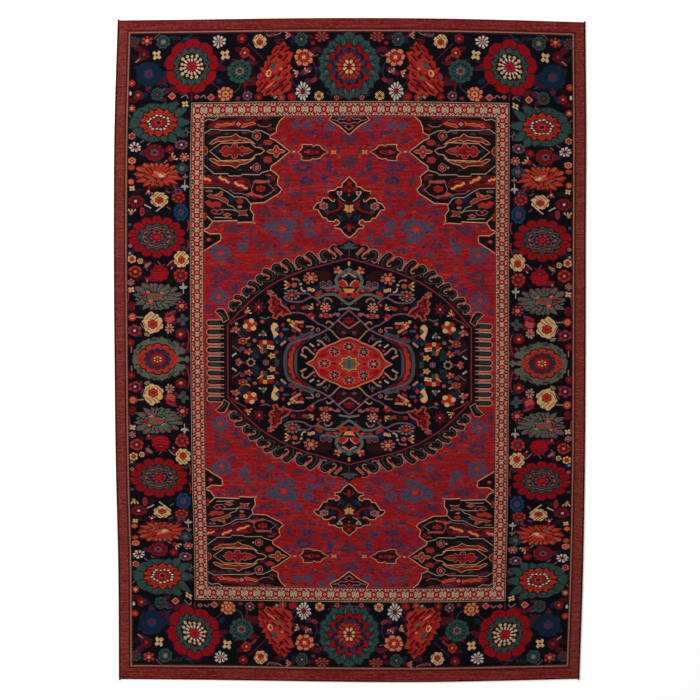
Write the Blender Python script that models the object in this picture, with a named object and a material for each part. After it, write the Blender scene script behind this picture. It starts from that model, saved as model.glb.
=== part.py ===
"""A room-size hand-knotted wool rug lying flat, with an overcast cord down each side and across each end.

Metres, +Z up. The origin is on the floor under the middle of the rug. +Y runs along its length, to the far end.
"""

import bpy

# Driving dimensions
OVERALL_WIDTH = 2.170
OVERALL_LENGTH = 3.058
RUG_THICKNESS = 0.009
PILE_EDGE_RADIUS = 0.0022
SIDE_CORD_DIAMETER = 0.008
END_CORD_DIAMETER = 0.006
SEAM_GAP = 0.0003
# The side cords run on past the end cords, as small knots of yarn at the corners.
SIDE_CORD_TAIL = 0.004

# How far each edge draws in from the straight rectangle, at seven even stations.
# The left and right edges are read from the far end to the near end, the others from left to right.
EDGE_INSET = {
    "left": (0.015, 0.000, -0.003, 0.000, 0.006, 0.018, 0.021),
    "right": (0.001, -0.003, -0.001, 0.000, 0.003, 0.012, 0.029),
    "far": (0.011, 0.007, 0.002, 0.000, 0.002, 0.009, 0.020),
    "near": (0.014, 0.011, 0.006, 0.001, 0.000, 0.006, 0.015),
}
OUTLINE_STEP = 0.050
CORD_RING_STEPS = 2
PILE_EDGE_STEPS = 2

WOOL_ROUGHNESS = 0.95
COLOURS = {
    "pile_wool": (0.105, 0.018, 0.018, 1.0),
    "side_cord_wool": (0.018, 0.004, 0.006, 1.0),
    "end_cord_wool": (0.040, 0.006, 0.008, 1.0),
}


def clear_scene():
    for existing in list(bpy.data.objects):
        bpy.data.objects.remove(existing)


def wool(name):
    material = bpy.data.materials.new(name)
    material.use_nodes = True
    shader = material.node_tree.nodes["Principled BSDF"]
    shader.inputs["Base Color"].default_value = COLOURS[name]
    shader.inputs["Roughness"].default_value = WOOL_ROUGHNESS
    shader.inputs["Metallic"].default_value = 0.0
    return material


def smooth_value(stations, share):
    """The value at a share of the way along evenly spaced stations, on a smooth curve through them."""
    spans = len(stations) - 1
    first = 2 * stations[0] - stations[1]
    last = 2 * stations[-1] - stations[-2]
    padded = (first, *stations, last)
    span = min(int(share * spans), spans - 1)
    t = share * spans - span
    before, start, end, after = padded[span : span + 4]
    rise = end - before
    bend = 2 * before - 5 * start + 4 * end - after
    twist = 3 * (start - end) + after - before
    return start + 0.5 * t * (rise + t * (bend + t * twist))


def side_x(side, share, depth):
    """X of the left or right edge line, drawn in by depth, at a share of the length from the far end."""
    sign = -1 if side == "left" else 1
    return sign * (OVERALL_WIDTH / 2 - smooth_value(EDGE_INSET[side], share) - depth)


def end_y(end, share, depth):
    """Y of the far or near edge line, drawn in by depth, at a share of the width from the left."""
    sign = 1 if end == "far" else -1
    return sign * (OVERALL_LENGTH / 2 - smooth_value(EDGE_INSET[end], share) - depth)


def shares(length):
    steps = round(length / OUTLINE_STEP)
    return [step / steps for step in range(steps + 1)]


def side_line(side, depth, end_depth):
    """Points down one side, from the far end to the near end."""
    corner = 0.0 if side == "left" else 1.0
    far_y = end_y("far", corner, end_depth)
    near_y = end_y("near", corner, end_depth)
    return [
        (side_x(side, share, depth), far_y + (near_y - far_y) * share)
        for share in shares(OVERALL_LENGTH)
    ]


def end_line(end, depth, side_depth):
    """Points across one end, from left to right."""
    corner = 0.0 if end == "far" else 1.0
    left_x = side_x("left", corner, side_depth)
    right_x = side_x("right", corner, side_depth)
    return [
        (left_x + (right_x - left_x) * share, end_y(end, share, depth))
        for share in shares(OVERALL_WIDTH)
    ]


def curve_object(name, points, closed, material, collection):
    curve = bpy.data.curves.new(name, "CURVE")
    spline = curve.splines.new("POLY")
    spline.points.add(len(points) - 1)
    for spline_point, place in zip(spline.points, points):
        spline_point.co = (*place, 1.0)
    spline.use_cyclic_u = closed
    curve.materials.append(material)
    built = bpy.data.objects.new(name, curve)
    collection.objects.link(built)
    return built


def knotted_cloth(collection):
    """The one-piece cloth: foundation and pile as a flat slab with the rug's own uneven outline."""
    side_depth = SIDE_CORD_DIAMETER + SEAM_GAP
    end_depth = END_CORD_DIAMETER + SEAM_GAP
    left = side_line("left", side_depth, end_depth)
    near = end_line("near", end_depth, side_depth)
    right = side_line("right", side_depth, end_depth)[::-1]
    far = end_line("far", end_depth, side_depth)[::-1]
    outline = left[:-1] + near[:-1] + right[:-1] + far[:-1]
    cloth = curve_object(
        "pile_rug", [(x, y, 0.0) for x, y in outline], True, wool("pile_wool"), collection
    )
    cloth.data.dimensions = "2D"
    cloth.data.fill_mode = "BOTH"
    cloth.data.extrude = RUG_THICKNESS / 2 - PILE_EDGE_RADIUS
    cloth.data.bevel_depth = PILE_EDGE_RADIUS
    cloth.data.bevel_resolution = PILE_EDGE_STEPS
    cloth.data.offset = -PILE_EDGE_RADIUS
    cloth.location.z = RUG_THICKNESS / 2


def overcast_cord(name, line, diameter, material, collection):
    """A round cord of warps wrapped in wool, lying on the floor against the cloth's edge."""
    radius = diameter / 2
    cord = curve_object(name, [(x, y, radius) for x, y in line], False, material, collection)
    cord.data.dimensions = "3D"
    cord.data.bevel_depth = radius
    cord.data.bevel_resolution = CORD_RING_STEPS
    cord.data.use_fill_caps = True


def side_cords(collection):
    material = wool("side_cord_wool")
    for side in ("left", "right"):
        line = side_line(side, SIDE_CORD_DIAMETER / 2, -SIDE_CORD_TAIL)
        overcast_cord(f"side_cord_{side}", line, SIDE_CORD_DIAMETER, material, collection)


def end_cords(collection):
    material = wool("end_cord_wool")
    inside_side_cord = SIDE_CORD_DIAMETER + SEAM_GAP
    for end in ("far", "near"):
        line = end_line(end, END_CORD_DIAMETER / 2, inside_side_cord)
        overcast_cord(f"end_cord_{end}", line, END_CORD_DIAMETER, material, collection)


def main():
    clear_scene()
    collection = bpy.data.collections.new("medallion_rug")
    bpy.context.scene.collection.children.link(collection)
    knotted_cloth(collection)
    side_cords(collection)
    end_cords(collection)


main()
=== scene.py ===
import math
import random

import bmesh
import bpy
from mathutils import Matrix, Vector, geometry, noise


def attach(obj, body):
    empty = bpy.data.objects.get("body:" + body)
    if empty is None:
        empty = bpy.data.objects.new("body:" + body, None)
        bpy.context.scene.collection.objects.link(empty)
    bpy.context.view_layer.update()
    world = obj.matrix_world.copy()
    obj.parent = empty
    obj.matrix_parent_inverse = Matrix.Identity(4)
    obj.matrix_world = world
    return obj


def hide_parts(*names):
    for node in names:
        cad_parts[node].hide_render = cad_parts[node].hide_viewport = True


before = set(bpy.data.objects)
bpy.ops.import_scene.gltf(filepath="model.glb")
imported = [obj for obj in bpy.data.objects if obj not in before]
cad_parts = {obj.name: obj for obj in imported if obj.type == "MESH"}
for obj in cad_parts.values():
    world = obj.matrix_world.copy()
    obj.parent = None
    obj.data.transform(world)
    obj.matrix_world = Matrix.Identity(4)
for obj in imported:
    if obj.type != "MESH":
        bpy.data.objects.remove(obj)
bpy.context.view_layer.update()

# The rug as it lies, in metres, and how far its edges draw in at seven even stations.
rug = {
    "width": 2.170,
    "length": 3.058,
    "thickness": 0.009,
    "sideCord": 0.008,
    "endCord": 0.006,
    "cordGap": 0.0006,
    "cordTail": 0.004,
    "backing": 0.003,
    "backDetail": 2.6,
}
edgeInset = {
    "left": (0.015, 0.000, -0.003, 0.000, 0.006, 0.018, 0.021),
    "right": (0.001, -0.003, -0.001, 0.000, 0.003, 0.012, 0.029),
    "far": (0.011, 0.007, 0.002, 0.000, 0.002, 0.009, 0.020),
    "near": (0.014, 0.011, 0.006, 0.001, 0.000, 0.006, 0.015),
}
# How far in from each edge the beige line and the middle of the ivory guard were woven, in metres.
lineIn = {"left": 0.058, "right": 0.058, "far": 0.059, "near": 0.064}
guardIn = {"left": 0.383, "right": 0.386, "far": 0.423, "near": 0.405}
middleOfPattern = {"across": -0.004, "along": -0.037}

# The chart is one quarter of the pattern, in centimetres from its middle: out to the left, up to the far end.
chartSize = {
    "halfWidth": 108.5,
    "halfLength": 152.9,
    "lineOut": 102.7,
    "lineUp": 146.7,
    "guardOut": 70.1,
    "guardUp": 111.5,
}
zoneBounds = {
    "band": {"outer": (107.64, 152.24), "inner": (102.43, 146.4)},
    "border": {"outer": (102.43, 146.4), "inner": (73.2, 115.2)},
    "guard": {"outer": (73.2, 115.2), "inner": (66.9, 108.5)},
    "field": {"outer": (66.9, 108.5), "inner": None},
}
# The weaver's rows wander: how far each height slides towards the far end, in centimetres, by column.
rowDrift = {
    "up": (0, 16, 30, 55, 70, 82, 93, 106, 128, 147),
    "leftBorder": (-0.6, -0.6, -1.1, -1.1, -1.1, 0.0, 0.8, 1.3, 1.1, 0.0),
    "rightBorder": (-2.5, -3.0, -3.2, -2.5, -2.2, -1.3, -0.9, -0.4, 0.0, 0.0),
    "leftField": (-1.7, -1.7, -1.8, -2.2, -2.4, -1.2, -0.5, 0.0, 0.0, 0.0),
    "rightField": (-3.6, -3.6, -3.6, -3.2, -2.9, -1.4, -0.7, 0.0, 0.0, 0.0),
}
handWobble = {"reach": 0.0014, "perMetre": 7.0, "fadeWidth": 20, "seed": 5}
noise.seed_set(handWobble["seed"])
# Where the slides of the two sides blend, in centimetres of the chart.
driftBlend = {"fieldWidth": 130, "cornerUp": 104, "cornerRise": 8, "cornerOut": 5}

# Dyed yarns, as red, green and blue from 0 to 255 on a screen.
yarns = {
    "navy": (10, 9, 15),
    "ink": (13, 28, 48),
    "indigo": (26, 38, 64),
    "pitch": (20, 12, 13),
    "umberPitch": (34, 15, 13),
    "umber": (50, 27, 18),
    "maroon": (70, 14, 22),
    "oxblood": (60, 16, 18),
    "garnet": (98, 16, 22),
    "red": (118, 10, 16),
    "crimson": (136, 18, 24),
    "fieldRed": (134, 13, 18),
    "fieldOrange": (148, 40, 28),
    "bandRed": (108, 32, 28),
    "endRed": (108, 18, 20),
    "russet": (94, 24, 20),
    "bandPale": (140, 62, 52),
    "lineCream": (174, 124, 86),
    "stoneLine": (128, 116, 100),
    "bandDark": (66, 16, 20),
    "bandOlive": (84, 66, 48),
    "ember": (142, 38, 25),
    "rust": (120, 38, 22),
    "clay": (142, 62, 46),
    "amber": (168, 90, 48),
    "gold": (168, 114, 58),
    "cream": (174, 136, 90),
    "peach": (166, 96, 68),
    "tan": (130, 94, 70),
    "ivory": (162, 124, 102),
    "ivoryGreen": (134, 120, 96),
    "ivoryPink": (168, 116, 100),
    "white": (160, 152, 138),
    "pale": (140, 130, 120),
    "blush": (148, 100, 82),
    "beige": (124, 92, 74),
    "stone": (96, 86, 78),
    "pink": (150, 78, 74),
    "rosePink": (122, 34, 46),
    "dustRose": (140, 72, 64),
    "mauve": (94, 58, 68),
    "mauvePink": (126, 80, 84),
    "plum": (62, 24, 42),
    "teal": (28, 54, 54),
    "sage": (38, 58, 54),
    "sageLight": (72, 80, 72),
    "sageDark": (40, 52, 46),
    "seaDark": (18, 30, 34),
    "forest": (28, 48, 42),
    "olive": (86, 70, 40),
    "slate": (48, 60, 64),
    "blue": (22, 46, 74),
    "blotchBlue": (32, 58, 76),
    "blotchMauve": (52, 36, 52),
    "greyOlive": (72, 74, 62),
}
# Paper white on a screen, against the light that falls on the floor.
screenToYarn = 0.80


def screenLevel(value):
    share = value / 255
    return share / 12.92 if share <= 0.04045 else ((share + 0.055) / 1.055) ** 2.4


dyed = {name: tuple(screenLevel(v) * screenToYarn for v in yarns[name]) for name in yarns}


# Placing the chart on the floor

def clamped(share):
    return min(max(share, 0.0), 1.0)


def smoothValue(stations, share):
    spans = len(stations) - 1
    padded = (2 * stations[0] - stations[1], *stations, 2 * stations[-1] - stations[-2])
    share = clamped(share)
    span = min(int(share * spans), spans - 1)
    t = share * spans - span
    before, start, end, after = padded[span:span + 4]
    bend = 2 * before - 5 * start + 4 * end - after
    twist = 3 * (start - end) + after - before
    return start + 0.5 * t * (end - before + t * (bend + t * twist))


def between(value, marks, levels):
    for step in range(len(marks) - 1):
        if value <= marks[step + 1] or step == len(marks) - 2:
            share = (value - marks[step]) / (marks[step + 1] - marks[step])
            return levels[step] + share * (levels[step + 1] - levels[step])


def drift(zone, across, up):
    # slide of a height towards the far end, in centimetres; across is negative on the left
    if zone in ("band", "guard"):
        return 0.0
    if zone == "field":
        rightShare = clamped(0.5 + across / driftBlend["fieldWidth"])
        names = ("leftField", "rightField")
        shares = (1 - rightShare, rightShare)
    else:
        names = ("leftBorder",) if across < 0 else ("rightBorder",)
        corner = clamped((up - driftBlend["cornerUp"]) / driftBlend["cornerRise"])
        outside = clamped((abs(across) - zoneBounds["border"]["inner"][0]) / driftBlend["cornerOut"])
        shares = (1 - corner * (1 - outside),)
    slides = [between(abs(up), rowDrift["up"], rowDrift[name]) for name in names]
    return sum(share * slide for share, slide in zip(shares, slides))


def evened(zone, out, up):
    # the chart was read off the far left quarter; this takes its own drift out again
    return up - drift(zone, -out, up)


def wovenPlace(zone, out, up, side, end):
    # where a point of the chart lies on the floor, in metres. side is -1 left, 1 right; end is 1 far, -1 near
    sideName = "left" if side < 0 else "right"
    endName = "far" if end > 0 else "near"
    alongShare = 0.5 - end * up / (2 * chartSize["halfLength"])
    acrossShare = 0.5 + side * out / (2 * chartSize["halfWidth"])
    edgeX = rug["width"] / 2 - smoothValue(edgeInset[sideName], alongShare)
    edgeY = rug["length"] / 2 - smoothValue(edgeInset[endName], acrossShare)
    x = side * between(
        out,
        (0.0, chartSize["guardOut"], chartSize["lineOut"], chartSize["halfWidth"]),
        (side * middleOfPattern["across"], edgeX - guardIn[sideName], edgeX - lineIn[sideName], edgeX),
    )
    y = end * between(
        up,
        (0.0, chartSize["guardUp"], chartSize["lineUp"], chartSize["halfLength"]),
        (end * middleOfPattern["along"], edgeY - guardIn[endName], edgeY - lineIn[endName], edgeY),
    )
    y += drift(zone, side * out, up) / 100
    fade = handWobble["fadeWidth"]
    inside = clamped((chartSize["lineOut"] - out) / fade) * clamped((chartSize["lineUp"] - up) / fade)
    wobble = noise.noise_vector(Vector((x, y, 0.3)) * handWobble["perMetre"]) * handWobble["reach"] * inside
    return x + wobble.x, y + wobble.y


# Drawing on the chart. A shape's own sizes run to the right and up, as the far left quarter is seen.

chart = {zone: [] for zone in zoneBounds}
# Limits of the net: in centimetres and square centimetres on the chart, then in metres on the floor.
weaving = {"longestEdge": 5.0, "closest": 0.004, "smallest": 0.02, "weld": 0.00004, "sliver": 0.00001}


def tidied(points, apart=0.06):
    kept = []
    for point in points:
        if not kept or math.dist(point, kept[-1]) > apart:
            kept.append(point)
    while len(kept) > 2 and math.dist(kept[0], kept[-1]) <= apart:
        kept.pop()
    return kept


def area(points):
    return 0.5 * sum(a[0] * b[1] - b[0] * a[1] for a, b in zip(points, points[1:] + points[:1]))


def lay(zone, yarn, outline):
    # paints one closed outline of the chart with one yarn, over what is there
    points = tidied([(out, evened(zone, out, up)) for out, up in outline])
    if len(points) > 2 and abs(area(points)) >= weaving["smallest"]:
        chart[zone].append((yarn, points))


def turned(points, angle, wide=1.0, tall=1.0):
    # points swung anticlockwise by degrees, then stretched
    c, s = math.cos(math.radians(angle)), math.sin(math.radians(angle))
    return [(wide * (x * c - y * s), tall * (x * s + y * c)) for x, y in points]


def placed(points, out, up, turn=0.0):
    return [(out - x, up + y) for x, y in turned(points, turn)]


def ellipse(wide, tall, steps=12):
    angles = [2 * math.pi * k / steps for k in range(steps)]
    return [(wide / 2 * math.cos(a), tall / 2 * math.sin(a)) for a in angles]


def lobed(wide, tall, lobes, depth=0.18, pointed=False, start=0.0):
    # a round with scalloped or pointed lobes
    steps = ((0.0, 1 - depth), (0.5, 1.0)) if pointed else ((0.0, 1 - depth), (0.3, 0.99), (0.7, 0.99))
    ring = []
    for lobe in range(lobes):
        for share, reach in steps:
            a = 2 * math.pi * (lobe + share + start) / lobes
            ring.append((wide / 2 * reach * math.cos(a), tall / 2 * reach * math.sin(a)))
    return ring


def petal(wide, tall, count, number, inner, gap, start):
    # one petal of a ring of petals, with the ground showing on both sides of it
    middle = 2 * math.pi * (number + start) / count
    half = math.pi / count
    uneven = 1.0 - 0.07 * ((number * 5 + count) % 3)
    shoulder = inner + 0.62 * (0.95 - inner)
    corners = ((inner, -0.3), (shoulder, -1 + gap), (0.92, -0.6 + gap * 0.4), (1.0, 0.0),
               (0.92, 0.6 - gap * 0.4),
               (shoulder, 1 - gap), (inner, 0.3))
    return [
        (wide / 2 * uneven * r * math.cos(middle + share * half),
         tall / 2 * uneven * r * math.sin(middle + share * half))
        for r, share in corners
    ]


def ringOfPetals(zone, yarn, out, up, wide, tall, turn, count, inner=0.3, gap=0.16, start=0.5):
    for number in range(count):
        lay(zone, yarn, placed(petal(wide, tall, count, number, inner, gap, start), out, up, turn))


def curved(points, steps=3):
    if len(points) < 3:
        return list(points)
    line = []
    for span in range(len(points) - 1):
        a = points[max(span - 1, 0)]
        b, c = points[span], points[span + 1]
        d = points[min(span + 2, len(points) - 1)]
        for step in range(steps):
            t = step / steps
            line.append(tuple(
                0.5 * (2 * b[i] + (c[i] - a[i]) * t + (2 * a[i] - 5 * b[i] + 4 * c[i] - d[i]) * t * t
                       + (3 * (b[i] - c[i]) + d[i] - a[i]) * t ** 3)
                for i in (0, 1)
            ))
    line.append(tuple(points[-1]))
    return line


def strand(zone, yarn, width, points, smooth=True, closed=False, taper=0.0):
    # a line of yarn: one four-cornered patch for each step, with mitred joints
    line = tidied(curved(points) if smooth else list(points), 0.1)
    count = len(line)
    if count < 2:
        return
    left, right = [], []
    for k, here in enumerate(line):
        before = line[(k - 1) % count] if closed else line[max(k - 1, 0)]
        after = line[(k + 1) % count] if closed else line[min(k + 1, count - 1)]
        along = Vector((after[0] - before[0], after[1] - before[1]))
        along = along.normalized() if along.length > 1e-6 else Vector((1.0, 0.0))
        half = width / 2 * (1 - taper * k / (count - 1))
        left.append((here[0] - along.y * half, here[1] + along.x * half))
        right.append((here[0] + along.y * half, here[1] - along.x * half))
    for k in range(count if closed else count - 1):
        step = (k + 1) % count
        patch = [left[k], left[step], right[step], right[k]]
        if area(patch[:3]) * area([patch[0]] + patch[2:]) <= 0:
            along = Vector((line[step][0] - line[k][0], line[step][1] - line[k][1])).normalized() * width / 2
            patch = [(place[0] + side * along.y, place[1] - side * along.x)
                     for place, side in ((line[k], -1), (line[step], -1), (line[step], 1), (line[k], 1))]
        lay(zone, yarn, patch)


def edged(zone, fill, rim, width, outline):
    lay(zone, fill, outline)
    strand(zone, rim, width, outline, smooth=False, closed=True)


def rays(zone, yarn, width, out, up, wide, tall, turn, count, inner, outer, shift=0.0):
    # straight seams at even angles, from one share of a round to another
    for number in range(count):
        a = 2 * math.pi * (number + shift) / count
        ray = [(wide / 2 * r * math.cos(a), tall / 2 * r * math.sin(a)) for r in (inner, outer)]
        strand(zone, yarn, width, placed(ray, out, up, turn), smooth=False)


def uneven(rim, out, up, low, high):
    # the points of a rim pushed in or out a little, always the same way at one place
    luck = random.Random(round(out * 31) + 977 * round(up * 17))
    return [(x * reach, y * reach) for (x, y), reach in zip(rim, [luck.uniform(low, high) for point in rim])]


def spots(zone, lobes, depth, rows, ragged=None):
    # small lobed shapes; ragged gives how far their rims are pushed in and out
    for yarn, out, up, wide, tall, *turn in rows:
        rim = lobed(wide, tall, lobes, depth)
        lay(zone, yarn, placed(uneven(rim, out, up, *ragged) if ragged else rim, out, up, *turn))


def strands(zone, rows, smooth=True):
    for yarn, width, points in rows:
        strand(zone, yarn, width, points, smooth=smooth)


def patches(zone, rows):
    for yarn, outline in rows:
        lay(zone, yarn, outline)


# The darker yarn that marks the seams between petals.
deeper = {
    "cream": "rust", "gold": "rust", "peach": "garnet", "white": "seaDark", "ember": "oxblood", "blue": "ink",
    "ink": "seaDark", "sage": "seaDark", "teal": "seaDark", "mauve": "plum", "garnet": "oxblood",
    "rosePink": "oxblood",
    "pink": "garnet", "crimson": "oxblood", "rust": "oxblood", "slate": "seaDark", "dustRose": "garnet",
    "clay": "oxblood", "blush": "maroon", "tan": "umber", "stone": "pitch", "maroon": "umberPitch",
    "blotchBlue": "blotchMauve", "amber": "oxblood",
}


# Flowers. outer, inner and heart are yarns; turn is anticlockwise, in degrees.


def rose(zone, out, up, wide, tall, turn, lobes, outer, inner, heart):
    # petals side by side, parted by thin dark seams, round an angular heart
    seam = deeper.get(outer, "umberPitch")
    lay(zone, outer, placed(uneven(lobed(wide, tall, lobes, 0.18), out, up, 0.86, 1.06), out, up, turn))
    rays(zone, seam, 0.05 * (wide + tall) / 2 + 0.12, out, up, wide, tall, turn, lobes, 0.4, 0.94)
    lay(zone, seam, placed(lobed(wide * 0.60, tall * 0.60, lobes, 0.2), out, up, turn))
    lay(zone, inner, placed(uneven(lobed(wide * 0.50, tall * 0.50, max(lobes - 1, 4), 0.26), up, out, 0.8,
                                   1.1),
                            out, up, turn))
    lay(zone, heart, placed(lobed(wide * 0.22, tall * 0.24, 4, 0.3, True), out, up, turn))


def daisy(zone, out, up, wide, tall, turn, lobes, outer, inner, heart):
    ringOfPetals(zone, outer, out, up, wide, tall, turn, lobes, 0.42, 0.26)
    ringOfPetals(zone, inner, out, up, wide * 0.52, tall * 0.52, turn, lobes, 0.3, 0.2)
    lay(zone, heart, placed(ellipse(wide * 0.34, tall * 0.34, 7), out, up, turn))


def rosette(zone, out, up, wide, tall, turn, lobes, outer, inner, heart):
    # a full rose: two rounds of petals with dark seams, and a heart of another yarn
    seam = deeper.get(outer, "umberPitch")
    lay(zone, outer, placed(uneven(lobed(wide, tall, lobes, 0.13), out, up, 0.92, 1.05), out, up, turn))
    rays(zone, seam, 0.22, out, up, wide, tall, turn, lobes, 0.66, 0.97)
    lay(zone, seam, placed(lobed(wide * 0.70, tall * 0.70, lobes, 0.12), out, up, turn))
    ringOfPetals(zone, outer, out, up, wide * 0.66, tall * 0.66, turn, lobes, 0.5, 0.16, 0.0)
    lay(zone, seam, placed(lobed(wide * 0.44, tall * 0.44, 6, 0.16), out, up, turn))
    lay(zone, inner, placed(lobed(wide * 0.40, tall * 0.40, 6, 0.24), out, up, turn))
    lay(zone, heart, placed(lobed(wide * 0.2, tall * 0.2, 5, 0.2), out, up, turn))


def posy(zone, out, up, wide, tall, turn, lobes, outer, inner, heart):
    # an angular spray of uneven lobes in two yarns, round a dark heart
    luck = random.Random(round(out * 13) + 331 * round(up * 7))
    lay(zone, deeper.get(outer, "umberPitch"), placed(ellipse(wide * 0.6, tall * 0.6, 7), out, up, turn))
    for number in range(5):
        angle = 72 * number + luck.uniform(-12, 12)
        reach, half = luck.uniform(0.46, 0.60), luck.uniform(0.15, 0.22)
        spray = ((0.06, 0), (reach * 0.55, -half), (reach, -half * 0.7), (reach * 1.02, half * 0.6),
                 (reach * 0.5, half))
        yarn = (outer, outer, inner, outer, heart)[number]
        lay(zone, yarn, placed(turned(spray, angle, wide, tall), out, up, turn))
    lay(zone, deeper.get(inner, "pitch"), placed(ellipse(wide * 0.2, tall * 0.2, 5), out, up, turn))


def cross(zone, out, up, wide, tall, turn, lobes, outer, inner, heart):
    arm = ((0.06, -0.05), (0.24, -0.15), (0.5, -0.02), (0.46, 0.24), (0.14, 0.2))
    for quarter in range(4):
        lay(zone, outer, placed(turned(arm, 90 * quarter + 40.1, wide, tall), out, up, turn))
    lay(zone, heart, placed(ellipse(wide * 0.24, tall * 0.24, 5), out, up, turn))
    lay(zone, inner, placed(ellipse(wide * 0.12, tall * 0.12, 4), out, up, turn))


def gem(zone, out, up, wide, tall, turn, lobes, outer, inner, heart):
    rim = ((-1, 0), (-0.3, -0.7), (0, -1), (0.5, -0.6), (1, 0), (0.5, 0.6), (0, 1), (-0.3, 0.7))
    for yarn, share in ((outer, 0.5), (inner, 0.31), (heart, 0.15)):
        lay(zone, yarn, placed([(x * wide * share, y * tall * share) for x, y in rim], out, up, turn))


def bud(zone, out, up, wide, tall, turn, lobes, outer, inner, heart):
    lay(zone, heart, placed(ellipse(wide * 0.56, tall * 0.7, 8), out + wide * 0.12, up, turn))
    for side in (-1, 0, 1):
        tip = [(0, side * tall * 0.12), (wide * 0.3, side * tall * 0.5 - 0.14 * tall),
               (wide * 0.5, side * tall * 0.5), (wide * 0.3, side * tall * 0.5 + 0.14 * tall)]
        lay(zone, outer, placed(tip, out, up, turn))
    lay(zone, inner, placed(ellipse(wide * 0.3, tall * 0.36, 6), out + wide * 0.1, up, turn))


def trefoil(zone, out, up, wide, tall, turn, lobes, outer, inner, heart):
    # a three-lobed leaf on a stem, pointing along turn
    for angle, share in ((-58, 0.78), (58, 0.78), (0, 1.0)):
        reach = wide * 0.62 * share
        leaf = turned(((0, 0), (reach * 0.5, -tall * 0.13), (reach, 0), (reach * 0.5, tall * 0.13)), angle)
        lay(zone, outer, placed([(x - wide * 0.15, y) for x, y in leaf], out, up, turn))
    stalk = ((-wide * 0.6, -0.2), (-wide * 0.1, -0.2), (-wide * 0.1, 0.2), (-wide * 0.6, 0.2))
    lay(zone, inner, placed(stalk, out, up, turn))


def fruit(zone, out, up, wide, tall, turn, lobes, outer, inner, heart):
    # a pomegranate with a scalloped rind and a small crown
    crown = [(-wide * 0.16, tall * 0.3), (-wide * 0.30, tall * 0.58), (-wide * 0.08, tall * 0.46),
             (0, tall * 0.58),
             (wide * 0.08, tall * 0.46), (wide * 0.30, tall * 0.58), (wide * 0.16, tall * 0.3)]
    lay(zone, outer, placed(crown, out, up, turn))
    lay(zone, outer, placed(lobed(wide, tall * 0.94, 9, 0.15, False, 0.5), out, up, turn))
    for row in (-0.28, -0.12, 0.04):
        line = [(-wide * 0.38, tall * (row + 0.06)), (-wide * 0.14, tall * (row - 0.03)),
                (wide * 0.08, tall * (row + 0.03)),
                (wide * 0.36, tall * (row + 0.02))]
        strand(zone, inner, 0.4, placed(line, out, up, turn), smooth=False)
    lay(zone, "oxblood", placed(ellipse(wide * 0.40, tall * 0.22, 8), out, up + tall * 0.22, turn))
    lay(zone, heart, placed(ellipse(wide * 0.24, tall * 0.12, 6), out, up + tall * 0.22, turn))


def cupped(zone, out, up, wide, tall, turn, lobes, outer, inner, heart):
    # a half-open rose: a pale cup, slanting seams over it and a red heart low down
    lay(zone, outer, placed(uneven(lobed(wide, tall, lobes, 0.13), out, up, 0.9, 1.06), out, up, turn))
    for shift in (-0.20, 0.02, 0.24):
        seam = [((shift - 0.16) * wide, 0.14 * tall), ((shift + 0.04) * wide, 0.30 * tall),
                ((shift + 0.14) * wide, 0.42 * tall)]
        strand(zone, "umber", 0.32, placed(seam, out, up, turn), smooth=False)
    for side in (-1, 1):
        seam = [(side * wide * 0.46, tall * 0.06), (side * wide * 0.34, -tall * 0.16),
                (side * wide * 0.16, -tall * 0.34)]
        strand(zone, "umber", 0.32, placed(seam, out, up, turn), smooth=False)
    lay(zone, "umber", placed(lobed(wide * 0.52, tall * 0.46, 6, 0.2), out, up - tall * 0.06, turn))
    lay(zone, inner, placed(lobed(wide * 0.44, tall * 0.38, 6, 0.22), out, up - tall * 0.06, turn))
    lay(zone, heart, placed(ellipse(wide * 0.24, tall * 0.2, 6), out, up - tall * 0.08, turn))


def blossom(zone, out, up, wide, tall, turn, lobes, outer, inner, heart):
    lay(zone, outer, placed(lobed(wide, tall, max(lobes, 5), 0.14), out, up, turn))
    lay(zone, inner, placed(ellipse(wide * 0.6, tall * 0.6, 8), out, up, turn))
    lay(zone, heart, placed(ellipse(wide * 0.26, tall * 0.26, 6), out, up, turn))


def pinwheel(zone, out, up, wide, tall, turn, lobes, outer, inner, heart):
    # round petals in two yarns by turns
    for number in range(lobes):
        a = 2 * math.pi * (number + 0.25) / lobes
        middle = placed([(wide * 0.31 * math.cos(a), tall * 0.31 * math.sin(a))], out, up, turn)[0]
        lay(zone, (outer, inner)[number % 2], placed(lobed(wide * 0.40, tall * 0.38, 6, 0.16), *middle))
    lay(zone, outer, placed(lobed(wide * 0.44, tall * 0.40, 6, 0.2), out, up, turn))
    lay(zone, heart, placed(ellipse(wide * 0.16, tall * 0.16, 6), out, up, turn))


def star(zone, out, up, wide, tall, turn, lobes, outer, inner, heart):
    # thin pointed rays round a light dot
    for number in range(lobes):
        reach, yarn = ((0.5, outer), (0.42, inner))[number % 2]
        ray = ((0.05, -0.05), (reach * 0.6, -0.075), (reach, 0.0), (reach * 0.6, 0.075), (0.05, 0.05))
        lay(zone, yarn, placed(turned(ray, 360 * number / lobes, wide, tall), out, up, turn))
    lay(zone, heart, placed(ellipse(wide * 0.13, tall * 0.13, 6), out, up, turn))


flowerKinds = {
    "rose": rose, "daisy": daisy, "rosette": rosette, "cross": cross, "gem": gem, "posy": posy, "star": star,
    "pinwheel": pinwheel, "cupped": cupped, "bud": bud, "trefoil": trefoil, "fruit": fruit,
    "blossom": blossom,
}
flowerColumns = ("out", "up", "wide", "tall", "turn", "lobes", "outer", "inner", "heart")


def bouquet(zone, rows):
    for kind, *row in rows:
        flowerKinds[kind](zone, **dict(zip(flowerColumns, row)))


# Every table of flowers has these columns: kind, then those of flowerColumns.

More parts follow.
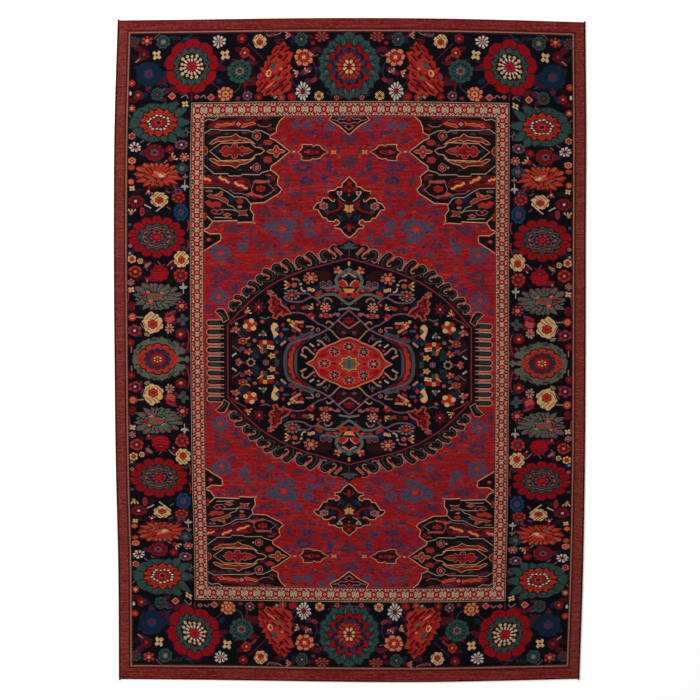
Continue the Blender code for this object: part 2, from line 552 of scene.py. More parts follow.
borderFlowers = (
    # the corner, and up the side from it
    ("rose", 100.6, 142.6, 5.0, 5.2, 0, 8, "sage", "garnet", "garnet"),
    ("daisy", 94.5, 143.0, 5.6, 5.0, 0, 6, "ember", "rust", "peach"),
    ("rosette", 87.0, 142.4, 6.8, 6.4, 0, 8, "sage", "sageLight", "pink"),
    ("rose", 95.7, 136.9, 5.6, 5.4, 0, 6, "maroon", "garnet", "rust"),
    ("cross", 89.8, 136.5, 4.4, 4.6, 0, 4, "cream", "rust", "umber"),
    ("rosette", 93.2, 128.2, 12.6, 11.4, 0, 12, "ink", "blue", "garnet"),
    ("blossom", 100.9, 124.2, 3.4, 3.2, 0, 6, "rust", "ember", "peach"),
    ("blossom", 101.4, 119.7, 1.2, 2.0, 0, 5, "white", "white", "pale"),
    ("rose", 97.8, 118.9, 4.6, 4.4, 0, 6, "garnet", "ember", "peach"),
    ("rosette", 89.0, 119.2, 6.0, 6.0, 22, 8, "sage", "seaDark", "crimson"),
    ("gem", 82.2, 118.3, 3.8, 3.4, 0, 4, "peach", "rosePink", "ember"),
    ("cross", 76.0, 114.7, 3.4, 3.0, 0, 4, "cream", "umber", "navy"),
    ("gem", 70.8, 117.8, 2.6, 2.0, 0, 4, "pink", "rosePink", "plum"),
    ("rose", 100.5, 113.0, 3.4, 3.4, 0, 6, "ember", "cream", "rust"),
    ("rose", 100.3, 100.5, 3.4, 3.4, 0, 6, "peach", "rust", "ember"),
    ("daisy", 98.7, 95.5, 6.4, 4.8, -12, 8, "white", "pale", "garnet"),
    ("rosette", 89.8, 92.9, 9.4, 7.8, 0, 10, "garnet", "mauve", "seaDark"),
    ("rose", 82.7, 94.4, 4.4, 3.8, 0, 6, "garnet", "crimson", "ember"),
    ("rose", 77.4, 96.4, 6.6, 4.6, 0, 8, "mauve", "plum", "white"),
    ("daisy", 75.9, 90.7, 5.2, 4.4, 0, 8, "pink", "crimson", "peach"),
    ("bud", 81.6, 90.2, 4.6, 3.2, 40, 3, "cream", "garnet", "crimson"),
    ("blossom", 100.1, 89.4, 3.8, 3.2, 0, 6, "peach", "ember", "peach"),
    ("blossom", 100.3, 86.3, 3.4, 2.6, 0, 6, "rust", "clay", "rust"),
    ("rose", 77.1, 85.7, 6.4, 5.4, 0, 6, "teal", "mauve", "olive"),
    ("blossom", 100.5, 79.8, 3.2, 3.0, 0, 6, "ember", "peach", "ember"),
    ("cross", 100.0, 76.8, 3.0, 2.6, 0, 4, "cream", "olive", "olive"),
    ("trefoil", 75.6, 77.4, 4.6, 4.4, 270, 3, "pale", "pale", "mauve"),
    ("trefoil", 75.4, 81.8, 3.4, 3.6, 90, 3, "stone", "mauve", "mauve"),
    ("rose", 98.3, 70.9, 7.4, 6.0, 0, 8, "garnet", "maroon", "white"),
    ("bud", 92.1, 75.3, 3.0, 2.8, 270, 3, "pink", "white", "crimson"),
    ("cupped", 87.4, 71.7, 8.6, 7.2, 0, 8, "cream", "ember", "crimson"),
    ("rose", 78.5, 72.5, 6.8, 5.4, 0, 8, "ember", "garnet", "olive"),
    ("rosette", 77.5, 65.9, 6.8, 8.2, 0, 8, "blue", "slate", "garnet"),
    ("bud", 100.0, 65.7, 4.0, 3.0, 90, 3, "cream", "gold", "olive"),
    ("blossom", 95.3, 66.3, 2.4, 4.4, 0, 5, "rosePink", "garnet", "rosePink"),
    ("blossom", 101.0, 60.4, 1.8, 1.4, 0, 5, "sage", "slate", "sage"),
    ("blossom", 101.0, 55.5, 1.8, 1.8, 0, 5, "garnet", "rosePink", "garnet"),
    ("blossom", 100.8, 50.8, 2.0, 1.7, 0, 5, "pink", "rosePink", "pink"),
    ("blossom", 101.0, 47.4, 1.7, 1.5, 0, 5, "mauve", "pale", "mauve"),
    ("rose", 100.0, 44.8, 4.0, 4.0, 0, 6, "cream", "ember", "rust"),
    ("rose", 96.2, 43.9, 2.8, 2.8, 0, 5, "cream", "olive", "cream"),
    ("blossom", 92.8, 42.1, 4.4, 1.8, 35, 5, "mauve", "pink", "mauve"),
    ("rose", 98.5, 39.1, 6.8, 6.2, 0, 6, "ember", "garnet", "peach"),
    ("fruit", 87.3, 38.2, 8.8, 7.8, 0, 8, "red", "crimson", "rust"),
    ("cupped", 77.2, 44.7, 7.2, 8.0, 0, 8, "cream", "ember", "crimson"),
    ("rose", 77.5, 37.2, 6.8, 6.4, 0, 8, "ember", "garnet", "mauve"),
    ("rose", 100.5, 34.3, 3.6, 3.4, 0, 6, "mauvePink", "pink", "plum"),
    ("cross", 100.3, 30.9, 3.2, 2.8, 0, 4, "cream", "olive", "olive"),
    ("trefoil", 76.3, 31.9, 4.8, 4.8, 90, 3, "pale", "pale", "mauve"),
    ("bud", 92.6, 35.0, 4.2, 2.4, 90, 3, "crimson", "pink", "garnet"),
    ("rose", 100.3, 23.4, 3.8, 4.4, 0, 6, "garnet", "maroon", "crimson"),
    ("daisy", 77.2, 23.5, 6.4, 5.4, 0, 8, "rosePink", "maroon", "peach"),
    ("blossom", 100.0, 18.6, 3.8, 3.8, 0, 7, "ember", "peach", "rust"),
    ("cupped", 90.6, 15.9, 9.8, 10.0, 0, 9, "cream", "ember", "crimson"),
    ("fruit", 82.7, 18.0, 5.0, 5.2, 20, 8, "crimson", "pink", "garnet"),
    ("cross", 76.7, 17.3, 5.6, 5.0, 45, 4, "slate", "garnet", "umber"),
    ("daisy", 82.9, 13.3, 4.8, 5.0, 0, 8, "blush", "pale", "crimson"),
    ("rose", 99.0, 12.4, 6.6, 5.4, 0, 6, "rosePink", "maroon", "white"),
    ("rose", 77.8, 10.7, 5.6, 4.8, 0, 6, "garnet", "ember", "cream"),
    ("rose", 100.8, 6.9, 3.8, 3.8, 0, 6, "garnet", "crimson", "rust"),
    ("blossom", 93.4, 10.6, 3.0, 1.6, -20, 5, "tan", "stone", "tan"),
    # along the end, from the corner to the middle
    ("daisy", 61.1, 142.3, 7.0, 6.2, 0, 9, "white", "pale", "pink"),
    ("rose", 50.4, 143.4, 5.0, 4.6, 0, 6, "garnet", "crimson", "pink"),
    ("cupped", 42.0, 142.1, 6.8, 6.6, 0, 7, "cream", "ember", "crimson"),
    ("blossom", 36.4, 144.8, 4.4, 1.4, 12, 5, "mauve", "plum", "mauve"),
    ("bud", 28.2, 144.7, 4.4, 2.6, 180, 3, "blush", "mauve", "mauvePink"),
    ("rosette", 22.5, 142.9, 6.0, 6.6, 0, 8, "sage", "seaDark", "pink"),
    ("daisy", 12.8, 144.0, 7.8, 5.0, 0, 8, "ember", "rust", "sage"),
    ("blossom", 17.0, 141.2, 2.2, 1.8, 0, 5, "garnet", "rosePink", "garnet"),
    ("cross", 58.1, 136.3, 4.8, 4.8, 0, 4, "cream", "rust", "umber"),
    ("rose", 48.9, 137.1, 5.0, 5.2, 0, 5, "ember", "crimson", "cream"),
    ("blossom", 45.4, 134.8, 3.6, 1.4, -42, 5, "rosePink", "garnet", "rosePink"),
    ("rosette", 51.1, 129.0, 11.8, 10.8, 0, 12, "sage", "sageLight", "garnet"),
    ("rose", 21.2, 134.9, 9.4, 8.4, 0, 7, "peach", "ember", "cream"),
    ("bud", 24.0, 128.1, 3.8, 2.8, 200, 3, "cream", "pink", "clay"),
    ("bud", 20.0, 128.2, 3.4, 2.6, 60, 3, "cream", "rosePink", "rosePink"),
    ("blossom", 18.8, 129.6, 2.0, 1.6, 0, 5, "plum", "mauve", "plum"),
    ("daisy", 21.5, 119.8, 7.4, 9.0, 0, 12, "white", "pale", "garnet"),
    ("blossom", 16.3, 124.8, 3.2, 2.0, 30, 5, "rosePink", "garnet", "rosePink"),
    ("cupped", 14.0, 117.8, 4.6, 4.2, 0, 6, "cream", "ember", "crimson"),
    ("rose", 5.8, 116.8, 2.4, 2.2, 0, 6, "pink", "umber", "pink"),
    ("rose", 57.4, 118.9, 7.6, 6.6, 0, 8, "peach", "gold", "rust"),
    ("gem", 64.2, 117.5, 3.8, 3.4, 0, 4, "pink", "rosePink", "ember"),
    ("rose", 47.3, 118.0, 5.0, 4.4, 0, 7, "mauve", "plum", "cream"),
    ("blossom", 51.6, 116.8, 2.6, 2.0, 0, 5, "plum", "rosePink", "plum"),
    ("rose", 42.0, 117.4, 3.8, 3.6, 0, 6, "garnet", "ember", "rust"),
    ("rose", 31.5, 117.0, 4.0, 3.4, 0, 6, "ember", "pink", "rust"),
    ("rose", 26.8, 117.3, 4.0, 3.6, 0, 6, "crimson", "ember", "garnet"),
    ("blossom", 34.3, 117.2, 2.2, 1.6, 30, 5, "slate", "pale", "slate"),
)

# Columns: yarn, width, points.
borderStems = (
    ("plum", 0.5, ((47.8, 141.3), (44.2, 138.0), (40.3, 134.4))),
    ("plum", 0.5, ((64.0, 124.2), (61.2, 122.0), (59.2, 120.4))),
    ("sageDark", 0.5, ((50.8, 124.4), (50.9, 122.0), (52.4, 120.2), (54.4, 119.2))),
    ("garnet", 0.5, ((48.4, 123.6), (48.5, 119.8))),
    ("plum", 0.5, ((27.4, 126.4), (26.2, 123.6), (24.2, 121.4))),
    ("plum", 0.5, ((27.4, 121.4), (24.6, 118.2), (23.0, 116.4))),
    ("pink", 0.6, ((99.6, 133.4), (98.0, 134.6), (97.0, 135.6))),
    ("mauvePink", 0.4, ((32.0, 146.0), (33.4, 145.2), (37.4, 144.4), (39.0, 145.6))),
    ("rosePink", 0.5, ((74.4, 62.4), (73.8, 59.8), (74.6, 57.2))),
    ("rosePink", 0.5, ((74.4, 53.4), (73.9, 51.0), (74.8, 48.2))),
    ("rosePink", 0.5, ((74.6, 12.6), (73.9, 9.0), (74.8, 4.0), (76.8, 2.6))),
    ("rosePink", 0.5, ((102.0, 31.2), (101.6, 28.6), (102.0, 25.6))),
    ("tan", 0.5, ((98.2, 18.6), (94.8, 18.4))),
    ("pink", 0.5, ((100.4, 5.0), (100.6, 2.4))),
    ("mauve", 0.5, ((96.2, 15.6), (94.6, 13.4), (92.2, 12.6))),
    ("mauve", 0.6, ((96.4, 97.4), (94.6, 98.8), (93.4, 100.4))),
    ("mauve", 0.6, ((93.4, 96.2), (91.8, 97.4))),
    ("pale", 0.6, ((94.4, 69.4), (92.6, 68.6), (91.2, 67.8))),
    ("pale", 0.6, ((88.8, 66.4), (87.2, 67.6), (85.8, 68.6))),
    ("mauve", 0.6, ((83.8, 68.4), (82.2, 67.2))),
    ("mauve", 0.6, ((84.6, 75.6), (82.4, 74.6))),
    ("plum", 0.6, ((84.8, 77.4), (83.4, 76.0))),
    ("crimson", 0.6, ((92.3, 78.6), (92.2, 75.8))),
    ("pink", 0.5, ((85.4, 88.2), (83.8, 89.6))),
    ("mauve", 0.5, ((101.8, 110.2), (100.6, 108.2), (101.6, 106.0))),
    ("mauve", 0.5, ((101.6, 104.8), (99.8, 103.6))),
    ("mauve", 0.5, ((75.4, 103.8), (74.6, 102.0), (75.0, 100.0))),
    ("rosePink", 0.5, ((81.2, 116.0), (79.0, 114.6))),
    ("garnet", 0.6, ((73.2, 119.4), (73.2, 116.2))),
    ("mauvePink", 0.5, ((78.0, 117.6), (75.8, 118.8), (74.8, 117.2))),
    ("mauvePink", 0.5, ((69.0, 117.4), (67.4, 118.4), (66.6, 117.0))),
    ("mauve", 0.5, ((17.6, 136.2), (15.6, 135.4), (14.4, 136.2))),
    ("plum", 0.5, ((16.8, 133.0), (15.4, 128.6), (16.2, 125.4))),
    ("plum", 0.5, ((10.4, 119.4), (8.0, 117.6), (6.4, 117.4))),
    ("mauve", 0.5, ((88.2, 43.8), (86.8, 42.0))),
    ("mauvePink", 0.5, ((83.8, 41.6), (81.8, 43.6), (80.4, 44.0))),
    ("sage", 0.7, ((76.0, 40.4), (75.2, 40.9))),
    ("pale", 0.5, ((82.0, 40.2), (81.2, 40.9))),
    ("rosePink", 0.5, ((98.6, 58.0), (100.2, 57.2))),
)


def drawBorder():
    ground = random.Random(11)
    for sprig in range(150):
        if sprig % 2:
            out, up = ground.uniform(75, 101.5), ground.uniform(0, 145.5)
        else:
            out, up = ground.uniform(0, 101.5), ground.uniform(116, 145.5)
        yarn = ("maroon", "ink", "pitch", "plum", "seaDark", "umberPitch", "oxblood")[sprig % 7]
        lay("border", yarn, placed(ellipse(ground.uniform(3, 8), ground.uniform(1.4, 3.0), 7), out, up,
                                   ground.uniform(-40, 40)))
        if sprig % 3 == 0:
            bend = ground.uniform(-1.4, 1.4)
            yarn = ("garnet", "mauve", "plum", "sageDark")[sprig % 4]
            strand("border", yarn, 0.42, placed([(-1.6, 0), (0, bend), (1.8, bend * 0.4)], out, up,
                                                ground.uniform(-80, 80)))
    strands("border", borderStems)
    drawPalmettes()
    drawFlames()
    bouquet("border", borderFlowers)


# The large palmettes of the border, each a set of rings from the outside in.
# Columns: yarn, wide, tall, lobes, depth, pointed.
palmettes = {
    "redEnd": {"out": 73.5, "up": 131.4, "rings": (
        ("maroon", 25.4, 25.2, 9, 0.12, False),
        ("red", 24.8, 24.6, 9, 0.11, False),
        ("umberPitch", 18.8, 19.0, 14, 0.15, True),
        ("sage", 18.2, 18.4, 14, 0.20, True),
        ("umberPitch", 13.0, 12.6, 12, 0.1, False),
        ("garnet", 6.0, 5.6, 8, 0.24, False),
        ("crimson", 5.2, 4.8, 8, 0.3, False),
        ("garnet", 2.0, 1.8, 6, 0.1, False),
    ), "petals": (("cream", 12.6, 12.2, 14, 0.72, 0.30), ("white", 9.0, 8.6, 14, 0.60, 0.30))},
    "tealSide": {"out": 88.0, "up": 106.5, "rings": (
        ("umberPitch", 19.2, 14.0, 14, 0.12, True),
        ("ember", 18.4, 13.2, 14, 0.20, True),
        ("crimson", 14.8, 10.0, 12, 0.16, False),
        ("ember", 13.2, 9.0, 12, 0.12, False),
        ("umber", 11.8, 7.8, 12, 0.1, False),
        ("garnet", 7.8, 5.0, 10, 0.16, False),
        ("clay", 3.6, 2.8, 6, 0.2, False),
        ("umberPitch", 2.4, 1.8, 6, 0.1, False),
    ), "petals": (("white", 11.4, 7.6, 16, 0.76, 0.14), ("crimson", 7.6, 5.0, 10, 0.5, 0.2))},
    "redSide": {"out": 88.5, "up": 54.8, "rings": (
        ("maroon", 27.0, 19.4, 14, 0.12, False),
        ("red", 26.2, 18.8, 14, 0.17, False),
        ("umberPitch", 19.6, 13.8, 12, 0.14, True),
        ("sage", 18.8, 13.2, 12, 0.22, True),
        ("umberPitch", 14.4, 10.0, 12, 0.14, False),
        ("clay", 13.4, 9.2, 12, 0.16, False),
        ("umberPitch", 12.0, 8.0, 10, 0.12, False),
        ("slate", 11.2, 7.2, 8, 0.2, False),
        ("ink", 9.0, 5.8, 8, 0.16, False),
        ("garnet", 6.6, 4.4, 8, 0.2, False),
        ("umberPitch", 4.4, 3.0, 8, 0.14, False),
        ("crimson", 3.6, 2.4, 6, 0.2, False),
    ), "petals": (("maroon", 14.0, 9.6, 14, 0.84, 0.62), ("ember", 7.4, 5.2, 8, 0.6, 0.5))},
    "greySide": {"out": 88.5, "up": -0.6, "rings": (
        ("umberPitch", 18.8, 15.2, 12, 0.10, False),
        ("ember", 17.8, 14.2, 12, 0.15, False),
        ("umber", 13.2, 10.4, 12, 0.14, False),
        ("indigo", 12.4, 9.6, 12, 0.16, False),
        ("seaDark", 10.4, 8.2, 10, 0.2, False),
        ("garnet", 8.4, 7.0, 10, 0.16, False),
        ("crimson", 6.4, 5.2, 8, 0.2, False),
        ("oxblood", 4.4, 3.6, 8, 0.2, False),
        ("olive", 1.6, 1.3, 6, 0.1, False),
    ), "petals": (("plum", 12.2, 9.6, 12, 0.8, 0.3), ("cream", 4.2, 3.4, 6, 0.5, 0.26))},
    "tealEnd": {"out": 0.0, "up": 130.6, "rings": (
        ("umberPitch", 22.4, 23.6, 12, 0.2, True),
        ("red", 21.4, 22.4, 12, 0.22, True),
        ("umberPitch", 17.0, 17.2, 14, 0.14, False),
        ("garnet", 12.6, 13.0, 14, 0.16, False),
        ("umber", 6.8, 7.0, 8, 0.16, False),
        ("garnet", 2.4, 2.4, 8, 0.3, True),
    ), "petals": (("blue", 16.6, 16.8, 12, 0.76, 0.12), ("ember", 12.4, 12.8, 16, 0.56, 0.18),
                  ("cream", 6.6, 6.8, 8, 0.40, 0.24))},
}


def drawRings(zone, out, up, rings, petals):
    for yarn, wide, tall, lobes, depth, pointed in rings:
        lay(zone, yarn, placed(lobed(wide, tall, lobes, depth, pointed, lobes / 4 - 0.5), out, up))
    for yarn, wide, tall, count, inner, gap in petals:
        ringOfPetals(zone, yarn, out, up, wide, tall, 0, count, inner, gap)


def fan(zone, out, up, rows):
    # long leaves that spread from a middle; columns: yarn, angle, start, reach, width
    for yarn, angle, start, reach, width in rows:
        belly = start + (reach - start) * 0.5
        leaf = [(start, -width * 0.25), (belly, -width * 0.5), (reach - width * 0.3, -width * 0.22),
                (reach, 0.05),
                (belly + (reach - start) * 0.16, width * 0.42), (belly * 0.9, width * 0.48),
                (start, width * 0.25)]
        lay(zone, yarn, placed(leaf, out, up, angle))


def frilledLeaf(zone, yarn, out, up, angle, start, reach, width):
    # a broad leaf with a blunt, stepped tip
    side = [(start, 0.30), (reach * 0.52, 0.50), (reach * 0.62, 0.42), (reach * 0.74, 0.50),
            (reach * 0.80, 0.34),
            (reach * 0.91, 0.36), (reach * 0.94, 0.16)]
    leaf = [(x, -share * width) for x, share in side] + [(reach, 0.0)] + [(x, share * width) for x,
                                                                          share in side[::-1]]
    lay(zone, yarn, placed(leaf, out, up, angle))


def flames(zone, out, up, tongues, outer, inner, seam):
    # a leaf drawn as tongues of flame, each with a dark seam and a vein or a tip of the second yarn
    for number, (angle, reach, width) in enumerate(tongues):
        fan(zone, out, up, ((seam, angle, 1.6, reach * 1.03, width * 1.16),))
        fan(zone, out, up, ((outer, angle, 0.6, reach, width * 0.9),))
        first, last = ((0.45, 0.86), (0.70, 1.0))[number % 2]
        fan(zone, out, up, ((inner, angle + 3, reach * first, reach * last,
                             width * (0.22, 0.5)[number % 2]),))


# Dark seams that part the lobes of a ring. Columns: palmette, yarn, wide, tall, lobes, inner, width, shift.
palmetteSeams = (
    ("redEnd", "umberPitch", 24.6, 24.4, 9, 0.74, 0.5, 0.0),
    ("redEnd", "maroon", 22.0, 21.8, 9, 0.82, 0.4, 0.5),
    ("redEnd", "seaDark", 17.4, 17.6, 12, 0.74, 0.35, 0.0),
    ("redSide", "umberPitch", 26.2, 18.8, 14, 0.74, 0.4, 0.0),
    ("redSide", "maroon", 23.6, 16.8, 14, 0.80, 0.4, 0.5),
    ("tealSide", "umberPitch", 18.2, 13.0, 10, 0.66, 0.45, 0.0),
    ("greySide", "oxblood", 17.8, 14.2, 12, 0.76, 0.35, 0.0),
    ("tealEnd", "umberPitch", 11.2, 11.6, 14, 0.56, 0.3, 0.0),
    ("tealEnd", "seaDark", 15.4, 15.6, 14, 0.80, 0.35, 0.0),
)


def drawTealSide():
    # the leafy body behind the orange rings of the side
    side = palmettes["tealSide"]
    body = (side["out"] + 1.6, side["up"])
    lay("border", "seaDark", placed(lobed(24.4, 18.2, 9, 0.06), *body))
    lay("border", "sage", placed(lobed(23.6, 17.4, 9, 0.07), *body))
    fan("border", side["out"], side["up"], [
        row for angle, reach, width in (
            (70, 9.6, 5.6), (48, 12.6, 5.4), (26, 14.4, 4.6), (0, 14.6, 4.6), (-26, 14.4, 4.6),
            (-48, 12.6, 5.4), (-70, 9.6, 5.6))
        for row in (("seaDark", angle, 3.0, reach + 0.4, width + 0.8), ("sage", angle, 3.0, reach, width))
    ])
    fan("border", side["out"], side["up"], [
        ("seaDark", sign * angle, 7.0, reach, 0.55) for sign in (1, -1) for angle, reach in (
            (36, 12), (58, 10), (84, 8.6), (104, 8.8), (124, 9.6), (146, 11), (168, 12.4))
    ])


def drawGreySide():
    # the broad grey leaves behind the rings in the middle of the side
    grey = palmettes["greySide"]
    for yarn, more in (("umberPitch", 0.9), ("greyOlive", 0.0)):
        lay("border", yarn, placed(uneven(lobed(21.6 + more, 19.4 + more, 22, 0.05, True), 3, 3, 0.97, 1.03),
                                   grey["out"] + 1.0, grey["up"]))
        for angle, reach, width in ((58, 10.6, 6.2), (36, 12.4, 6.0), (18, 13.8, 5.4), (100, 10.2, 6.4),
                                    (78, 10.4, 6.0)):
            for sign in (1, -1):
                frilledLeaf("border", yarn, grey["out"], grey["up"], sign * angle, 3.0, reach + more / 2,
                            width + more)
    for side in (-1, 1):
        slit = [(out, grey["up"] + side * rise) for out, rise in ((78.6, 1.7), (75.2, 2.2), (73.6, 3.0))]
        strand("border", "navy", 0.9, slit, smooth=False)
    for yarn, more in (("umberPitch", 0.7), ("greyOlive", 0.0)):
        rim = [(x, y + more / 2) for x, y in ((8.0, 1.6), (11.0, 0.9), (12.4, 0.6), (13.8, 1.8))]
        tip = [(x, -y) for x, y in rim] + [(15.0 + more, 0)] + rim[::-1]
        lay("border", yarn, placed(tip, grey["out"], grey["up"]))


def drawTealEnd():
    # the round of green leaves in the middle of the end
    end = palmettes["tealEnd"]
    leaves = ((90, 16.2, 6.6), (110, 15.2, 6.0), (129, 14.6, 5.8), (147, 14.4, 5.6), (165, 14.8, 5.6),
              (183, 14.4, 5.8), (201, 14.8, 5.6), (219, 14.2, 5.8), (237, 14.8, 5.8), (254, 13.8, 5.4),
              (270, 14.8, 5.4))
    for angle, reach, width in leaves:
        frilledLeaf("border", "seaDark", end["out"], end["up"], angle, 4.0, reach + 0.5, width + 1.0)
        frilledLeaf("border", "sage", end["out"], end["up"], angle, 4.0, reach, width)
    for angle, reach, width in leaves:
        fan("border", end["out"], end["up"], (("seaDark", angle, 9.0, reach - 1.6, 0.6),
                                              ("seaDark", angle + 9, 9.0, reach - 2.4, 0.4),
                                              ("sageLight", angle - 9, 10.0, reach - 2.6, 0.5)))


def drawPalmettes():
    drawTealSide()
    drawGreySide()
    drawTealEnd()
    for name in ("redEnd", "tealSide", "redSide", "greySide", "tealEnd"):
        drawRings("border", **palmettes[name])
    for name, yarn, wide, tall, lobes, inner, width, shift in palmetteSeams:
        at = (palmettes[name]["out"], palmettes[name]["up"])
        rays("border", yarn, width, *at, wide, tall, 0, lobes, inner, 0.98, lobes / 4 - 0.5 + shift)
    # small marks over the grey palmette
    out, up = palmettes["greySide"]["out"], palmettes["greySide"]["up"]
    for side in (-1, 1):
        mark = [(side * 7.6, -2.6), (side * 8.6, -1.8), (side * 10.2, 0), (side * 8.6, 1.8),
                (side * 7.6, 2.6)]
        lay("border", "ember", placed(mark, out, up))
        lay("border", "crimson", placed(ellipse(1.6, 1.4, 6), out + side * 7.8, up))
    spots("border", 6, 0.2, [("sageDark", *place, 3.6, 1.4, turn) for *place, turn in (
        (96.4, 4.6, 50), (97.0, -5.4, -50), (82.0, 6.4, -20), (81.6, -7.2, 20), (90.0, 8.2, 0),
        (88.0, -9.0, 0))])
    for angle in (36, 58, 84, 110, 140, 165):
        for side in (-1, 1):
            fan("border", out, up, (("umberPitch", side * angle, 9.0, 11.0, 0.4),))


# Palmettes drawn like flames. Columns of the tongues: angle, reach, width.
flameLeaves = {
    "orange": ((178, 11.2, 3.4), (160, 10.6, 3.2), (-162, 10.4, 3.2), (140, 8.6, 3.0), (-142, 8.6, 3.0),
               (118, 6.4, 2.8), (-118, 6.2, 2.8), (94, 5.6, 2.8), (-94, 5.4, 2.8), (68, 5.8, 2.8),
               (-66, 5.8, 2.8), (44, 7.2, 2.6), (-42, 7.4, 2.6), (25, 9.2, 2.4), (-24, 10.4, 2.4),
               (9, 11.2, 2.2), (-9, 12.2, 2.2)),
    "grey": ((176, 10.8, 3.4), (156, 10.8, 3.4), (-160, 10.6, 3.4), (136, 9.0, 3.2), (-138, 8.8, 3.2),
             (112, 6.6, 3.0), (-114, 6.8, 3.0), (90, 6.0, 3.0), (-90, 6.2, 3.0), (64, 6.4, 3.0),
             (-62, 6.6, 3.0), (40, 8.2, 2.8), (-40, 8.0, 2.8), (20, 10.6, 2.4), (-20, 9.8, 2.4),
             (4, 12.0, 2.2), (-6, 11.4, 2.2)),
}
# Small marks on those leaves. Columns: yarn, out, up, wide, tall, turn.
flameMarks = (
    ("slate", 35.4, 131.2, 2.4, 3.6, -16), ("cream", 37.6, 127.8, 2.6, 3.4, -20),
    ("ember", 37.4, 127.8, 1.5, 2.2, -20), ("olive", 33.4, 125.6, 4.6, 1.6, 24),
    ("umberPitch", 32.2, 135.2, 2.0, 2.0, 0), ("peach", 36.8, 122.6, 5.0, 0.8, 38),
    ("rosePink", 41.8, 126.2, 2.2, 3.0, 10), ("peach", 31.8, 129.8, 1.6, 1.2, 0),
    ("oxblood", 31.6, 122.6, 2.2, 2.2, 30), ("umberPitch", 34.0, 121.0, 5.0, 0.9, 40),
    ("umberPitch", 31.0, 139.0, 3.4, 0.7, 60), ("garnet", 87.4, 82.8, 8.6, 4.4, -8),
    ("clay", 87.6, 83.0, 7.4, 3.4, -8), ("crimson", 90.4, 84.2, 4.0, 1.6, 10),
    ("cream", 86.6, 82.6, 3.6, 1.3, -24), ("white", 87.0, 82.2, 1.6, 0.8, -24),
    ("sageLight", 91.6, 81.0, 2.2, 1.6, 0), ("peach", 89.0, 83.9, 3.2, 0.9, -30),
    ("peach", 84.4, 83.4, 2.6, 0.8, 30), ("ember", 84.4, 81.2, 3.0, 1.2, -20),
    ("pitch", 89.4, 27.8, 9.0, 4.8, 0), ("greyOlive", 89.4, 27.8, 8.0, 3.8, 0),
    ("crimson", 92.8, 29.4, 4.2, 1.8, 20), ("blush", 92.6, 29.8, 1.8, 1.0, 0),
    ("ember", 88.4, 28.0, 5.2, 1.6, 6), ("clay", 91.8, 25.6, 3.6, 2.2, 30),
    ("peach", 91.8, 25.8, 1.8, 1.0, 0), ("blush", 86.2, 29.4, 2.2, 0.7, -24),
    ("forest", 88.6, 29.8, 2.2, 1.0, 0), ("rosePink", 95.2, 28.4, 1.6, 1.8, 0),
    ("stone", 85.4, 26.6, 3.0, 0.8, -10),
)


# The orange leaf of the end: its jagged outline, then its seams (out, up, turn, length).
endFlame = (
    (30.8, 142.0), (29.7, 140.6), (30.2, 139.3), (27.9, 139.3), (28.7, 137.5), (26.2, 137.0), (27.4, 134.1),
    (27.9, 131.7), (26.4, 129.9), (28.0, 129.2), (27.2, 126.3), (28.2, 124.6), (26.8, 123.1), (27.9, 120.1),
    (30.5, 119.4), (32.4, 116.9), (33.1, 118.7), (35.9, 117.5), (36.4, 118.7), (39.6, 117.9), (40.0, 119.2),
    (43.1, 120.1), (42.2, 122.0), (43.3, 123.7), (41.6, 125.2), (42.0, 127.6), (40.2, 128.1), (41.6, 130.4),
    (39.6, 130.2), (39.4, 133.1), (37.7, 133.3), (38.4, 135.4), (36.1, 135.7), (35.9, 138.0), (34.1, 137.7),
    (33.7, 140.3), (32.5, 139.7),
)
endFlameSeams = (
    (34.1, 138.0, 48, 2.6), (31.5, 139.0, 52, 2.4), (29.2, 137.8, 40, 2.0), (35.6, 134.8, 42, 3.0),
    (32.6, 136.0, 130, 2.2), (29.8, 134.6, 52, 3.0), (28.8, 131.8, 42, 2.0), (37.6, 130.8, 56, 3.0),
    (34.8, 131.6, 70, 2.2), (30.0, 129.9, 30, 2.4), (40.2, 126.4, 60, 3.0), (38.4, 126.8, 64, 2.6),
    (35.8, 126.0, 46, 2.4), (32.6, 127.4, 60, 2.2), (29.4, 127.0, 46, 2.2), (41.2, 122.8, 50, 2.4),
    (38.8, 122.8, 46, 3.0), (35.2, 123.2, 22, 3.6), (31.2, 124.0, 30, 3.6), (29.2, 122.4, 40, 2.4),
    (37.0, 120.2, 40, 3.4), (33.8, 120.8, 36, 3.4), (30.8, 120.8, 50, 2.0), (40.6, 120.6, 46, 2.4),
)


